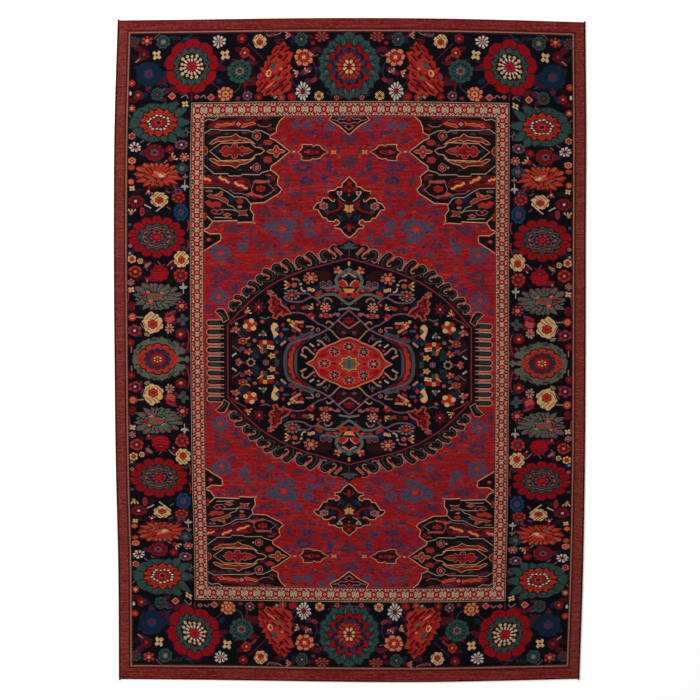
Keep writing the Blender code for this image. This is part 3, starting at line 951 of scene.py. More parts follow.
def drawFlames():
    # the orange leaf palmette of the end, then the orange and the grey one of the side
    lay("border", "ember", endFlame)
    strand("border", "rust", 0.45, endFlame, smooth=False, closed=True)
    for out, up, turn, length in endFlameSeams:
        for yarn, width, shift in (("crimson", 1.1, 0.95), ("umberPitch", 0.75, 0.0)):
            seam = ((-length * 0.66, shift), (length * 0.66, shift))
            strand("border", yarn, width, placed(seam, out, up, turn), smooth=False)
    for yarn, more in (("umberPitch", 0.8), ("ember", 0.0)):
        lay("border", yarn, placed(lobed(20.4 + more, 10.8 + more, 17, 0.14, True), 88.6, 82.8, -6))
    flames("border", 88.2, 82.8, flameLeaves["orange"], "ember", "clay", "umberPitch")
    for yarn, more in (("pitch", 0.8), ("greyOlive", 0.0)):
        lay("border", yarn, placed(lobed(20.4 + more, 12.2 + more, 17, 0.14, True), 89.0, 27.8, -6))
    flames("border", 88.8, 27.8, flameLeaves["grey"], "greyOlive", "mauve", "pitch")
    spots("border", 6, 0.1, flameMarks)
    for across, rise, turn in ((83.4, 84.4, 40), (85.6, 80.6, 30), (91.4, 85.4, 140), (93.2, 81.4, 150),
                               (88.6, 80.2, 95), (95.4, 84.0, 170), (83.0, 29.4, 40), (85.6, 25.6, 30),
                               (92.0, 30.8, 140), (93.4, 26.0, 150), (88.8, 24.8, 95), (95.6, 28.6, 170)):
        strand("border", "umberPitch", 0.5, placed(((-1.6, 0), (1.6, 0.4)), across, rise, turn), smooth=False)


# The field: corner pieces, lines of vine, scattered flowers and the medallion.

spandrel = (
    (30.5, 112), (29.5, 108.8), (32.2, 106.6), (33.6, 103.7), (33.8, 101.3), (36.5, 100), (36.7, 98.9),
    (33.6, 97.5), (30.2, 94.8), (27.4, 92.7), (30.2, 90.5), (33.1, 88.1), (36, 86.2), (36.2, 84.5), (34, 83),
    (32.4, 81.4), (33, 79.6), (32.9, 77.6), (31, 75.6), (32.2, 73.7), (35.5, 71.8), (38.9, 69.6),
    (44.9, 69.4), (45.6, 67), (43.9, 64.6), (44.2, 62), (43, 60.5), (45, 61.2), (51.4, 61), (51.4, 61.9),
    (62.9, 61.7), (64.8, 58.8), (69, 57.2), (69, 112),
)
sideTriangle = (
    (69, 57.8), (66.2, 57.2), (64.2, 56), (59.4, 56), (59, 55), (59.3, 52.9), (62.9, 50.8), (66.9, 48.3),
    (69, 47.8),
)
# The strip over the cartouche of the corner, and the height about which it is mirrored.
cartoucheMiddle = 93.2
cartoucheStrip = (
    (64.6, 96.6), (63.4, 97.8), (60.3, 99.5), (56.6, 99.6), (54.4, 99.8), (52.3, 101.0), (50.5, 99.5),
    (47.6, 98.9), (45.3, 97.8), (43.3, 96.2), (45.3, 97.0), (47.6, 97.4), (50.5, 98.2), (52.3, 97.6),
    (54.4, 98.2), (57.4, 97.6), (60.5, 97.6), (63.1, 96.4),
)
# Outlined shapes inside the corner pieces. Columns: fill, rim, rim width, points.
cornerShapes = (
    ("garnet", "oxblood", 0.5, ((65.8, 104.4), (63.8, 106.0), (60.6, 107.0), (53.0, 107.2), (50.4, 107.9),
                                (44.0, 108.0), (42.6, 105.4), (44.6, 103.9), (49.6, 103.7), (54.0, 104.1),
                                (58.6, 103.4), (62.6, 103.4))),
    ("ember", "amber", 0.32, ((62.2, 104.2), (61.0, 105.7), (59.0, 105.2), (56.8, 105.9), (54.6, 105.5),
                              (52.8, 106.4), (53.0, 105.1), (55.6, 104.9), (57.4, 104.5), (59.4, 104.7),
                              (60.6, 103.9))),
    ("ember", "amber", 0.32, ((49.8, 103.9), (48.6, 105.4), (46.6, 105.5), (44.4, 106.3), (43.2, 105.4),
                              (45.4, 104.9), (47.4, 104.3), (48.6, 103.8))),
    ("plum", "garnet", 0.4, ((51.0, 106.9), (48.4, 108.2), (44.4, 108.0), (42.4, 106.8), (46.4, 107.0))),
    ("slate", "plum", 0.3, ((48.8, 107.0), (46.6, 107.8), (44.4, 107.2), (46.6, 106.7))),
    ("pitch", "tan", 0.35, ((43.9, 101.4), (42.2, 101.9), (40.9, 100.6), (41.1, 98.9), (42.3, 97.9),
                            (43.6, 98.6), (44.9, 99.8))),
    ("rust", "rosePink", 0.4, ((39.8, 96.8), (38.6, 97.9), (36.2, 97.7), (35.2, 96.6), (36.8, 95.8),
                               (38.6, 95.9))),
    ("rust", "rosePink", 0.4, ((39.6, 89.4), (38.3, 90.6), (36.0, 90.0), (35.6, 88.4), (37.2, 87.7),
                               (39.0, 88.0))),
    ("pitch", "pink", 0.35, ((44.3, 86.6), (42.6, 87.7), (41.0, 86.4), (40.8, 84.9), (42.6, 83.8),
                             (44.1, 84.7))),
    ("rust", "tan", 0.32, ((65.7, 72.9), (63.7, 73.8), (60.8, 72.7), (58.9, 75.0), (58.0, 74.5), (59.5, 72.3),
                           (57.1, 71.8), (55.4, 70.4), (55.9, 69.4), (58.2, 70.2), (60.3, 71.4),
                           (63.1, 71.9))),
    ("ember", "rosePink", 0.4, ((66.4, 70.2), (64.3, 70.9), (63.1, 69.8), (60.8, 70.2), (58.8, 69.2),
                                (59.4, 68.0), (61.4, 68.4), (62.6, 67.7), (64.9, 68.6))),
    ("pitch", "pink", 0.34, ((63.7, 66.2), (62.0, 67.1), (60.5, 66.4), (59.2, 67.2), (58.0, 65.8),
                             (59.7, 64.8), (62.2, 65.1))),
    ("rust", "pink", 0.38, ((58.2, 64.5), (56.2, 65.3), (54.2, 64.6), (56.2, 63.6))),
    ("garnet", "tan", 0.34, ((51.2, 66.7), (49.3, 66.2), (46.6, 66.8), (47.8, 65.2), (46.6, 64.0),
                             (49.3, 64.5), (51.2, 63.9), (50.2, 65.2))),
    ("rust", "oxblood", 0.4, ((52.0, 70.8), (50.6, 72.0), (48.8, 71.2), (48.5, 69.8), (50.4, 69.0),
                              (51.8, 69.6))),
    ("clay", "rosePink", 0.32, ((44.4, 79.0), (43.2, 80.0), (40.7, 79.8), (38.4, 79.6), (36.6, 79.9),
                                (36.3, 79.0), (38.4, 78.6), (41.9, 78.5))),
    ("clay", "rosePink", 0.32, ((47.6, 73.6), (44.8, 74.6), (43.0, 73.3), (39.6, 72.8), (40.7, 72.0),
                                (44.7, 72.6))),
    ("garnet", "oxblood", 0.4, ((45.2, 72.2), (43.6, 72.6), (42.0, 71.9), (43.6, 71.0))),
)
cartoucheGround = (
    (64.3, 93.2), (59.2, 96.8), (45.4, 97), (43.4, 94.9), (40.6, 94.4), (39, 93.2), (40.6, 91.9),
    (43.2, 91.4), (45.2, 89.2), (59, 88.9),
)
cartoucheFlower = (
    (59.9, 93.2), (58.3, 94.1), (58.5, 94.9), (56.4, 95.7), (55.4, 94.6), (54.2, 95.0), (53.9, 96.2),
    (52.7, 96.5), (51.6, 96.0), (51.6, 94.9), (50.4, 94.6), (49.3, 95.6), (48.4, 94.6), (46.7, 94.5),
    (44.0, 93.2), (46.7, 91.9), (48.4, 91.8), (49.3, 90.8), (50.4, 91.8), (51.6, 91.5), (51.6, 90.4),
    (52.7, 89.9), (53.9, 90.2), (54.2, 91.4), (55.4, 91.8), (56.4, 90.7), (58.5, 91.5), (58.3, 92.3),
)
redTongue = (
    (69, 82), (62.4, 82.2), (55.4, 81), (50, 81), (46, 80), (45, 77), (50, 75), (56.2, 76), (60, 77.8),
    (69, 77.6),
)
smallHexagon = (
    (45, 75.6), (43.7, 78.9), (37.2, 79.4), (36.8, 77.8), (34.4, 75.6), (36.6, 73.6), (40.5, 71.8),
    (43.4, 72.6),
)
endDiamond = (
    (9.2, 106.7), (7.6, 105.8), (4.8, 104.3), (2.5, 102.4), (0.5, 100.6), (-1.5, 99.4), (-1.5, 112), (8, 112),
    (8.2, 108.4),
)
sideCartouche = (
    (23.8, 92.5), (22.4, 93.4), (21.6, 94.6), (21.9, 95.9), (17.4, 95.9), (16.6, 95.1), (15.3, 95.7),
    (13.4, 95.4), (12.4, 94), (9.6, 92.5), (12.4, 91), (13.2, 89.9), (15.4, 89.3), (16.8, 89.6), (17.6, 88.9),
    (20, 88.6), (22, 88.9), (21.7, 90.3), (22.5, 91.5),
)
pendant = (
    (-1.5, 81.2), (0, 81.2), (1.5, 79.6), (3.1, 78.1), (3.3, 76.6), (5.4, 76.3), (6.6, 75.1), (9.7, 74.6),
    (9.7, 73.4), (8.2, 72.4), (6.5, 70.9), (6.9, 69.9), (7.9, 70.1), (9.7, 71.6), (12.2, 71.4), (12.8, 69.8),
    (15.0, 69.1), (16.5, 67.3), (16.3, 66.6), (14.5, 66.4), (13.5, 64.9), (12.2, 62.9), (10.5, 62.7),
    (9.9, 61.4), (7.0, 61.1), (6.2, 62.1), (4.9, 61.6), (4.4, 60.6), (5.4, 59.6), (6.9, 59.5), (6.4, 58.3),
    (4.1, 58.0), (2.6, 56.0), (0.8, 54.5), (-1.5, 53.2),
)

# Columns: yarn, width, points.
cornerLines = (
    ("stoneLine", 0.42, ((69, 106.6), (66.5, 107.1), (65.3, 107.8), (62.4, 107.3), (60, 108.7), (54, 108.8))),
    ("stoneLine", 0.42, ((69, 100.6), (67, 101.3), (64, 103.2), (60.5, 103.1), (60, 102.7), (53, 102.6),
                         (46.6, 102.5), (44.6, 101.6), (43.2, 102.5), (40.8, 102.3), (36.6, 100.2))),
    ("stoneLine", 0.42, ((69, 88), (66.5, 86.7), (62.2, 83.1), (55.9, 83), (55.3, 81.9), (49.9, 81.9),
                         (49, 82.6), (41.3, 82.4), (40.3, 83.3), (36.2, 84.4))),
    ("stoneLine", 0.4, ((69, 76.9), (66.7, 76.8), (59.8, 76.6), (56.2, 74.7), (52.8, 72.3), (49.4, 72.3),
                        (47.5, 71.8), (45.1, 68.9))),
    ("mauvePink", 0.36, ((66, 78.6), (60.4, 78.2), (57, 76.9), (52.9, 74), (49, 73.8), (46, 72.4))),
    ("stoneLine", 0.36, ((58.9, 66.9), (54.2, 66.8), (52, 66.3), (50.9, 65.6))),
    ("stoneLine", 0.36, ((56.4, 70.5), (56, 68.9), (53.4, 68), (51.6, 66))),
    ("stoneLine", 0.36, ((62.2, 63.4), (58, 63.3), (54, 63))),
    ("lineCream", 0.4, ((69, 66.6), (66.2, 64.6), (62.9, 61.8))),
    ("mauvePink", 0.42, ((43, 105.5), (41, 104.2), (38, 103.9), (36, 105))),
    ("amber", 0.6, ((61.6, 73.2), (59.8, 73.8), (58.4, 73.0))),
)
cornerFlowers = (
    ("blossom", 38.6, 108.0, 2.2, 1.5, 0, 5, "rosePink", "plum", "rosePink"),
    ("blossom", 41.4, 108.0, 2.2, 1.5, 0, 5, "rosePink", "plum", "rosePink"),
    ("blossom", 36.4, 103.0, 3.4, 1.2, 0, 5, "garnet", "oxblood", "rosePink"),
    ("blossom", 56.5, 101, 4, 1.2, 0, 6, "forest", "forest", "olive"),
    ("blossom", 48.5, 101.5, 2.6, 1.2, 0, 5, "mauve", "plum", "mauve"),
    ("blossom", 42.7, 99.8, 2.4, 2.6, 0, 5, "crimson", "pink", "crimson"),
    ("blossom", 37.5, 96.8, 1.8, 1.0, 0, 5, "ember", "crimson", "ember"),
    ("blossom", 37.6, 89.2, 1.8, 1.2, 0, 5, "ember", "crimson", "ember"),
    ("blossom", 42.5, 85.7, 2.0, 2.2, 0, 5, "pink", "crimson", "pink"),
    ("blossom", 45.2, 85.7, 1.2, 1.2, 0, 5, "mauvePink", "pale", "mauvePink"),
    ("blossom", 37.0, 82.2, 4, 1.2, 0, 5, "garnet", "ember", "rosePink"),
    ("blossom", 33.8, 77.6, 1.6, 1.6, 0, 5, "garnet", "plum", "rosePink"),
    ("blossom", 64.4, 75.2, 3.6, 1.1, 0, 5, "mauvePink", "pitch", "mauvePink"),
    ("blossom", 50.3, 68.0, 2.4, 1.2, 0, 5, "mauvePink", "pink", "mauvePink"),
    ("blossom", 61.0, 66.0, 1.6, 0.9, 0, 5, "crimson", "ember", "crimson"),
    ("blossom", 49.0, 65.3, 1.6, 1.1, 0, 5, "ember", "rust", "ember"),
    ("blossom", 56.2, 64.4, 1.8, 0.8, 0, 5, "ember", "rust", "ember"),
    ("rose", 64.6, 53.4, 3.2, 2.4, 0, 6, "garnet", "pink", "ember"),
    ("blossom", 66.2, 64.0, 1.6, 3.6, 0, 5, "rust", "garnet", "rust"),
)

# Faded flowers in the red field. Columns: yarn, out, up, wide, tall, ring.
fieldPatches = (
    ("blotchBlue", 24.4, 104.4, 4.6, 3.2, False), ("blotchBlue", 20.0, 104.6, 4.4, 3.4, False),
    ("blotchBlue", 13.4, 107.0, 4.0, 2.6, False), ("blotchBlue", 8.4, 103.6, 4.4, 4.0, False),
    ("indigo", 16.6, 101.2, 5.4, 2.0, False), ("indigo", 10.6, 99.4, 4.0, 2.8, False),
    ("blotchMauve", 0.6, 98.6, 7.6, 5.4, False), ("blotchMauve", 25.6, 97.7, 4.0, 3.2, False),
    ("blotchMauve", 30.0, 88.4, 4.0, 3.2, False), ("indigo", 21.2, 85.8, 9.4, 6.0, True),
    ("indigo", 20.0, 79.2, 7.4, 4.4, False), ("indigo", 9.0, 86.6, 3.4, 7.6, False),
    ("blotchMauve", 0.4, 88.2, 7.4, 6.2, False), ("indigo", 11.6, 80.8, 4.0, 3.4, False),
    ("blotchMauve", 17.8, 74.0, 4.2, 3.0, False), ("indigo", 24.6, 73.2, 5.6, 2.8, False),
    ("blotchMauve", 33.0, 69.6, 6.0, 3.0, False), ("blotchMauve", 39.0, 65.6, 7.0, 3.4, False),
    ("blotchMauve", 6.4, 82.6, 3.0, 3.0, False), ("blotchMauve", 28.6, 79.6, 3.2, 4.0, False),
    ("blotchBlue", 31.0, 58.2, 13.0, 10.4, True), ("blotchBlue", 37.2, 58.4, 4.0, 4.0, False),
    ("blotchBlue", 25.6, 60.4, 4.4, 4.6, False), ("blotchBlue", 28.6, 53.4, 6.4, 3.4, False),
    ("blotchMauve", 53.4, 58.2, 7.4, 4.8, False), ("blotchBlue", 49.0, 50.0, 5.6, 4.6, False),
    ("blotchBlue", 47.4, 53.8, 3.6, 2.8, False), ("blotchBlue", 59.2, 47.6, 9.6, 7.6, True),
    ("blotchMauve", 40.0, 50.6, 7.0, 4.4, True), ("blotchMauve", 59.2, 37.6, 8.6, 7.4, True),
    ("blotchBlue", 60.0, 27.6, 9.6, 7.0, True), ("blotchMauve", 24.4, 48.8, 6.0, 2.8, False),
    ("blotchMauve", 47.4, 35.9, 5.6, 3.6, False), ("blotchMauve", 41.6, 41.6, 3.6, 3.0, False),
    ("blotchBlue", 19.4, 60.0, 5.6, 4.6, False), ("blotchBlue", 17.6, 55.6, 6.0, 3.0, False),
    ("blotchMauve", 13.6, 52.8, 5.6, 3.6, False), ("blotchMauve", 60.8, 60.4, 3.4, 2.6, False),
    ("indigo", 52.6, 31.6, 4.0, 4.0, False), ("blotchMauve", 64.8, 22.7, 3.0, 3.6, False),
    ("blotchMauve", 31.6, 46.6, 3.6, 2.8, False), ("blotchBlue", 24.0, 65.0, 4.2, 3.2, False),
    ("blotchMauve", 16.8, 62.4, 3.6, 3.0, False), ("blotchMauve", 10.4, 56.6, 3.4, 3.0, False),
    ("blotchMauve", 54.0, 44.0, 4.4, 3.0, False), ("blotchMauve", 5.0, 93.6, 3.0, 2.4, False),
    ("blotchMauve", 61.6, 32.8, 3.6, 2.6, False), ("indigo", 15.6, 93.6, 2.2, 1.6, False),
    ("indigo", 26.6, 91.0, 2.0, 1.6, False), ("blotchBlue", 36.6, 47.0, 3.6, 2.4, False),
    ("blotchMauve", 44.6, 58.0, 3.6, 2.6, False), ("blotchBlue", 8.6, 53.6, 3.0, 2.2, False),
)


def ghost(yarn, out, up, wide, tall, ring):
    # a worn flower: a ragged patch of its yarn with short rows of knots about its rim
    luck = random.Random(round(out * 10) + 977 * round(up * 10))
    lobes = 7 + round(wide / 2)
    rim = lobed(wide * 1.04, tall * 1.04, lobes, 0.25)
    pushed = [luck.uniform(0.72, 1.12) for point in rim]
    patch = [(x * reach, y * reach) for (x, y), reach in zip(rim, pushed)]
    lay("field", yarn, placed(patch, out, up))
    if ring:
        lay("field", "fieldRed", placed([(x * 0.42, y * 0.36) for x, y in patch], out, up))
    for row in range(int(3 + wide * tall * 0.15)):
        turn = luck.uniform(0, 2 * math.pi)
        reach = luck.uniform(0.8, 1.3)
        x, y = wide / 2 * reach * math.cos(turn), tall / 2 * reach * math.sin(turn)
        length, height = luck.uniform(0.9, 2.2), luck.uniform(0.45, 0.9)
        shade = yarn if luck.random() < 0.72 else ("blotchMauve", "plum", "indigo")[row % 3]
        lay("field", shade, [
            (out + x - length / 2, up + y), (out + x - length * 0.1, up + y - height / 2),
            (out + x + length / 2, up + y - height * 0.2), (out + x + length * 0.2, up + y + height / 2),
            (out + x - length * 0.3, up + y + height * 0.35)])


medallionEdge = (
    (56, -5), (56, 15), (52, 19.4), (47.5, 24), (42.5, 28.4), (37.5, 31.8), (32, 34.9), (26, 37.4),
    (20, 39.6), (13, 41.3), (6, 43.2), (0, 44.8), (-2, 45.2),
)
hookGroundEdge = (
    (58.8, -5), (58.8, 17.2), (57, 19.5), (53, 22.4), (49.4, 26), (45, 30.6), (40.6, 34), (36, 37),
    (31, 39.4), (26, 41.2), (20.5, 42.6), (14.5, 44), (9, 45.2), (4, 46.8), (-2, 48.2),
)
comb = {"tips": 65.7, "base": 57.4, "first": 15.95, "step": 4.1, "fingers": 6, "half": 1.28}


topCrown = (
    (0, 53.4), (1.6, 52.0), (2.8, 51.6), (3.4, 50.8), (4.8, 51.0), (7.0, 49.8), (5.2, 49.4), (4.2, 48.2),
    (2.4, 45.6), (-2.4, 45.6), (-4.2, 48.2), (-5.2, 49.4), (-7.0, 49.8), (-4.8, 51.0), (-3.4, 50.8),
    (-2.8, 51.6), (-1.6, 52.0),
)
# Dim shapes that break up the dark ground of the medallion. Columns: yarn, out, up, wide, tall, turn.
innerShades = (
    ("pitch", 24, 32, 14, 6, -20), ("pitch", 8, 25, 12, 5, 0), ("ink", 31, 23.6, 6, 5, 0),
    ("pitch", 44, 10, 10, 9, 0), ("umberPitch", 12, 37, 9, 5, -12), ("pitch", 20, 12, 8, 6, 0),
    ("seaDark", 49, 12, 5, 6, 0), ("umberPitch", 3, 13, 7, 7, 0), ("pitch", 37, 17, 8, 5, 0),
    ("ink", 9, 31.6, 9, 4, 0), ("umberPitch", 47, 23.4, 7, 5, 40), ("pitch", 33, 0, 6, 10, 0),
    ("ink", 15.4, 30.6, 6, 4, 0), ("seaDark", 43.4, 2.4, 4, 5, 0), ("umberPitch", 23.6, 22.6, 6, 4, 0),
    ("ink", 3, 36.6, 5, 3, 0), ("pitch", 14, 21, 5, 4, 0), ("umberPitch", 52, 6, 5, 8, 0),
    ("ink", 30.8, 8.4, 5, 4, 0), ("seaDark", 13.6, 8.4, 4, 3, 0),
)
# Columns: out, up, turn, share of full size.
hookPlaces = (
    (33.4, 40.0, 8, 1.12), (22.6, 43.2, 6, 1.14), (11.2, 46.2, 8, 1.12), (41.0, 35.6, 26, 0.92),
    (47.5, 30.0, 32, 0.90), (53.6, 23.8, 36, 0.88),
)

# Columns: yarn, width, points.
medallionVines = (
    ("mauve", 0.8, ((30.3, 27.6), (29, 26.2), (27.2, 25.5), (24, 25.2), (21, 25.6), (18.8, 26.8), (17, 27.4),
                    (15.5, 27), (14, 25.6), (13, 24.6))),
    ("mauve", 0.7, ((22.8, 28.9), (19, 29), (17.4, 27.6))),
    ("mauve", 0.7, ((34.6, 19.4), (31.6, 19.4), (29, 20), (26, 20.3), (23.5, 20.3), (21, 19.9), (19.4, 19.2),
                    (18, 17.8), (16, 16.6), (14, 15.2), (12, 14.5), (10.4, 13.6), (9.4, 12.9))),
    ("mauve", 0.8, ((28.5, 4.6), (26.6, 6.2), (24, 7.5), (21.5, 8.4), (19, 9.2), (16, 10.1), (13.4, 11),
                    (11.4, 12), (9.4, 13.1), (8, 14.2), (6.6, 15.6), (5.2, 16.9), (3.6, 18.4), (1.6, 20.1),
                    (0, 21.4), (-1.5, 22.3))),
    ("tan", 0.6, ((9.4, 12.9), (8.2, 12.3), (7.2, 11.3), (6, 9.9), (4.8, 8.7), (4, 8.2))),
    ("mauvePink", 0.7, ((5.2, 16.9), (3.8, 15.9), (2, 14.6), (0.6, 13.6), (-0.8, 13.1))),
    ("stone", 0.9, ((-1.5, 23.3), (1, 22.2), (3, 22), (4.8, 21.6))),
    ("sageLight", 1.2, ((-1.5, 23.5), (1.2, 24.6), (3, 26), (4.8, 27.4), (6.4, 28.4), (8.6, 28.6), (11, 28.4),
                        (13.2, 27.4), (15, 26.6))),
    ("sageLight", 1.1, ((13.2, 32), (11, 31.4), (8.4, 31.6), (6.2, 32), (4.6, 31), (3.4, 29.6))),
    ("sageLight", 1.5, ((1.6, 38.8), (4.2, 37.7), (6.0, 34.9), (5.2, 32.2), (6.4, 31.2))),
    ("blush", 0.6, ((0, 38.2), (3.4, 36.4))),
    ("rosePink", 0.5, ((54.5, 15.2), (52.4, 17), (50, 18.2), (47.6, 19.4))),
    ("rosePink", 0.5, ((52.4, 12.4), (51.0, 11.0), (50, 9.4))),
    ("peach", 0.7, ((50, 8.8), (47, 8.6), (45.8, 9.4))),
    ("pale", 0.8, ((54, 0.9), (52, 2.2))),
    ("blush", 1.0, ((31.6, 5.6), (29.2, 7.6))),
    ("peach", 1.1, ((26.4, 14.6), (24, 13), (22.4, 12))),
    ("peach", 1.1, ((25, 16.4), (22.6, 16), (21, 16.2))),
    ("rosePink", 0.9, ((26.6, 12.8), (24.4, 11.4))),
    ("mauvePink", 0.7, ((20, 14), (17, 14), (16.5, 13.2), (17.6, 12.2))),
    ("pale", 0.7, ((22, 31.9), (21.9, 31), (21.2, 30.2), (20, 29.9))),
    ("dustRose", 0.6, ((25, 35.6), (23.6, 35.2), (22.8, 34.4))),
    ("mauvePink", 0.7, ((11.4, 25.6), (11, 26.6), (10, 26.9), (8.6, 26.4), (7.8, 25))),
    ("blush", 0.6, ((10.4, 15.3), (10, 16.2), (9, 16.3), (8, 15.6), (7, 14.8))),
    ("mauvePink", 0.6, ((7.6, 19), (6, 20.2))),
    ("mauve", 0.6, ((9.4, 8.8), (9, 7.2))),
    ("pale", 0.8, ((18.2, 6.5), (16.2, 5.1))),
    ("blush", 0.8, ((14.8, 7.9), (13, 7.4), (11.6, 6.2), (10.4, 5.2))),
    ("tan", 0.8, ((21.4, 2.4), (21.6, 3.8), (20.4, 4.8), (19, 4.2), (17.6, 2.8), (16, 1.6))),
    ("blush", 0.9, ((22.4, 1.8), (20.8, 0.9), (19.6, 0.2))),
)
clayTriangle = (
    (36.4, 27.9), (33.8, 28.3), (33.2, 26.7), (31.6, 26.2), (31.3, 23.9), (28.4, 22.3), (26.7, 19.8),
    (29.2, 19.6), (30.4, 18.5), (31.3, 20.2), (32.6, 19.5), (33.4, 17.6), (35.4, 18.2), (34.5, 20.2),
    (36.0, 20.8), (37.0, 22.6), (35.9, 23.8), (37.2, 25.4), (35.8, 26.4),
)
medallionFlowers = (
    ("rose", 26.2, 28.4, 7.6, 5.2, 0, 10, "stone", "pitch", "pitch"),
    ("daisy", 26.4, 28.4, 4.6, 2.8, 0, 6, "ember", "crimson", "pink"),
    ("blossom", 14, 28.9, 4, 2, 30, 6, "ember", "crimson", "ember"),
    ("blossom", 9.6, 30.3, 3, 1.4, 0, 5, "crimson", "rosePink", "crimson"),
    ("daisy", 6.2, 30.2, 4, 2, 0, 6, "crimson", "ember", "pink"),
    ("blossom", 0.3, 27.2, 2.4, 1.8, 0, 5, "plum", "mauve", "plum"),
    ("posy", 5.2, 39.2, 3.8, 3.2, 0, 6, "peach", "ember", "peach"),
    ("rose", 12, 33.2, 3.8, 2.8, 0, 6, "mauve", "pitch", "mauve"),
    ("blossom", 9, 33.5, 2.4, 2.8, 0, 5, "mauve", "plum", "mauve"),
    ("daisy", 17.8, 35.8, 8.0, 5.8, 0, 8, "dustRose", "ember", "peach"),
    ("bud", 27.6, 32.8, 5.2, 3.2, 180, 3, "cream", "rust", "ember"),
    ("blossom", 25.2, 32.8, 2.6, 2.2, 0, 5, "dustRose", "rosePink", "dustRose"),
    ("cross", 18.4, 30.9, 2.0, 1.9, 0, 4, "cream", "rust", "rust"),
    ("blossom", 16.8, 30.5, 2.2, 1.6, 0, 5, "cream", "gold", "rust"),
    ("blossom", 22.3, 33.2, 1.4, 1.2, 0, 5, "pale", "blush", "pale"),
    ("blossom", 25.8, 35.4, 1.5, 1.3, 0, 5, "dustRose", "pink", "dustRose"),
    ("posy", 36.5, 29.4, 3.2, 2.6, 0, 6, "dustRose", "ember", "pink"),
    ("star", 41.7, 22.9, 7.0, 7.6, 0, 8, "maroon", "garnet", "pale"),
    ("bud", 47, 20.8, 3.6, 2.8, 30, 3, "cream", "peach", "ember"),
    ("pinwheel", 45.6, 14.8, 6.8, 6.2, 0, 6, "ember", "cream", "crimson"),
    ("posy", 52.6, 12.6, 3.8, 3.0, 0, 6, "dustRose", "ember", "peach"),
    ("blossom", 51.9, 15.4, 1.7, 1.5, 0, 5, "dustRose", "pale", "dustRose"),
    ("blossom", 40, 16.4, 2.2, 1.8, 0, 5, "rosePink", "pink", "rosePink"),
    ("posy", 39.9, 11.0, 2.8, 2.6, 0, 6, "stone", "seaDark", "stone"),
    ("blossom", 41.3, 10.3, 1.0, 1.0, 0, 5, "pale", "pale", "pale"),
    ("blossom", 38.5, 10.3, 1.0, 1.0, 0, 5, "pale", "pale", "pale"),
    ("rose", 49, 7.6, 4.6, 3.2, 0, 6, "clay", "rust", "peach"),
    ("blossom", 46.3, 6.0, 2.2, 1.6, 0, 5, "slate", "sageDark", "slate"),
    ("blossom", 49.4, 4.2, 2.4, 1.8, 0, 5, "mauve", "plum", "mauve"),
    ("blossom", 43.6, 7.9, 1.9, 1.7, 0, 5, "mauvePink", "mauve", "mauvePink"),
    ("posy", 46.4, 3.0, 3.8, 2.8, 0, 6, "clay", "ember", "peach"),
    ("posy", 33.8, 8.0, 3.4, 3.0, 0, 6, "ink", "blue", "slate"),
    ("blossom", 27.2, 8.4, 2.2, 1.8, 0, 5, "mauve", "plum", "mauve"),
    ("posy", 26.4, 15.6, 2.8, 2.8, 0, 6, "gold", "ember", "cream"),
    ("blossom", 24.6, 14.6, 2.0, 1.6, 0, 5, "ember", "rust", "ember"),
    ("blossom", 22.0, 14.4, 2.0, 1.6, 0, 5, "rust", "garnet", "rust"),
    ("blossom", 27.8, 17.0, 1.6, 1.4, 0, 5, "cream", "gold", "cream"),
    ("blossom", 25.4, 9.4, 2.2, 1.8, 0, 5, "crimson", "rosePink", "crimson"),
    ("blossom", 22.2, 10.6, 2.0, 1.7, 0, 5, "plum", "mauve", "plum"),
    ("rose", 14.4, 12.6, 2.2, 1.9, 0, 6, "blush", "pitch", "blush"),
    ("posy", 17.4, 18.9, 3.6, 2.9, 0, 6, "crimson", "ember", "pink"),
    ("blossom", 19.0, 22.9, 2.6, 2.0, 0, 5, "olive", "sageDark", "olive"),
    ("bud", 16.6, 22.5, 3.4, 2.6, 150, 3, "cream", "gold", "ember"),
    ("blossom", 20.8, 22.5, 2.2, 1.8, 0, 5, "ember", "crimson", "ember"),
    ("blossom", 26.0, 22.8, 2.4, 1.8, 0, 5, "rosePink", "garnet", "rosePink"),
    ("daisy", 10.8, 22.7, 5.8, 4.8, 0, 8, "blush", "crimson", "peach"),
    ("rose", 10.6, 19.0, 7.0, 2.4, 0, 6, "clay", "rust", "ember"),
    ("blossom", 12.6, 19.0, 1.4, 1.2, 0, 5, "dustRose", "pink", "dustRose"),
    ("blossom", 8.6, 19.0, 1.4, 1.2, 0, 5, "dustRose", "pink", "dustRose"),
    ("blossom", 5.1, 19.5, 2.2, 1.8, 0, 5, "mauvePink", "mauve", "mauvePink"),
    ("posy", 10.9, 9.4, 2.6, 2.4, 0, 6, "mauve", "pitch", "mauve"),
    ("blossom", 14.2, 6.0, 1.4, 1.2, 0, 5, "dustRose", "pale", "dustRose"),
    ("blossom", 15.8, 3.6, 1.5, 1.3, 0, 5, "crimson", "rosePink", "crimson"),
    ("blossom", 33.4, 2.6, 2.4, 1.8, 0, 5, "plum", "mauve", "plum"),
    ("blossom", 42.6, 0.6, 2.6, 2.0, 0, 5, "seaDark", "blue", "seaDark"),
    ("blossom", 33.2, -1.4, 2.4, 2.0, 0, 5, "forest", "sageDark", "forest"),
    ("posy", 51.0, -1.6, 3.2, 2.6, 0, 6, "dustRose", "ember", "peach"),
    ("blossom", 38.4, -1.8, 3.0, 2.2, 0, 6, "mauve", "plum", "blush"),
    ("blossom", 14.4, 24.0, 1.6, 1.4, 0, 5, "ember", "ember", "peach"),
    ("blossom", 3.0, 24.6, 2.2, 1.4, 0, 5, "seaDark", "sageDark", "seaDark"),
    ("posy", 0.6, 17.0, 3.8, 2.8, 0, 6, "garnet", "maroon", "crimson"),
    ("blossom", 2.4, 11.4, 2.0, 1.6, 0, 5, "mauve", "plum", "mauve"),
)
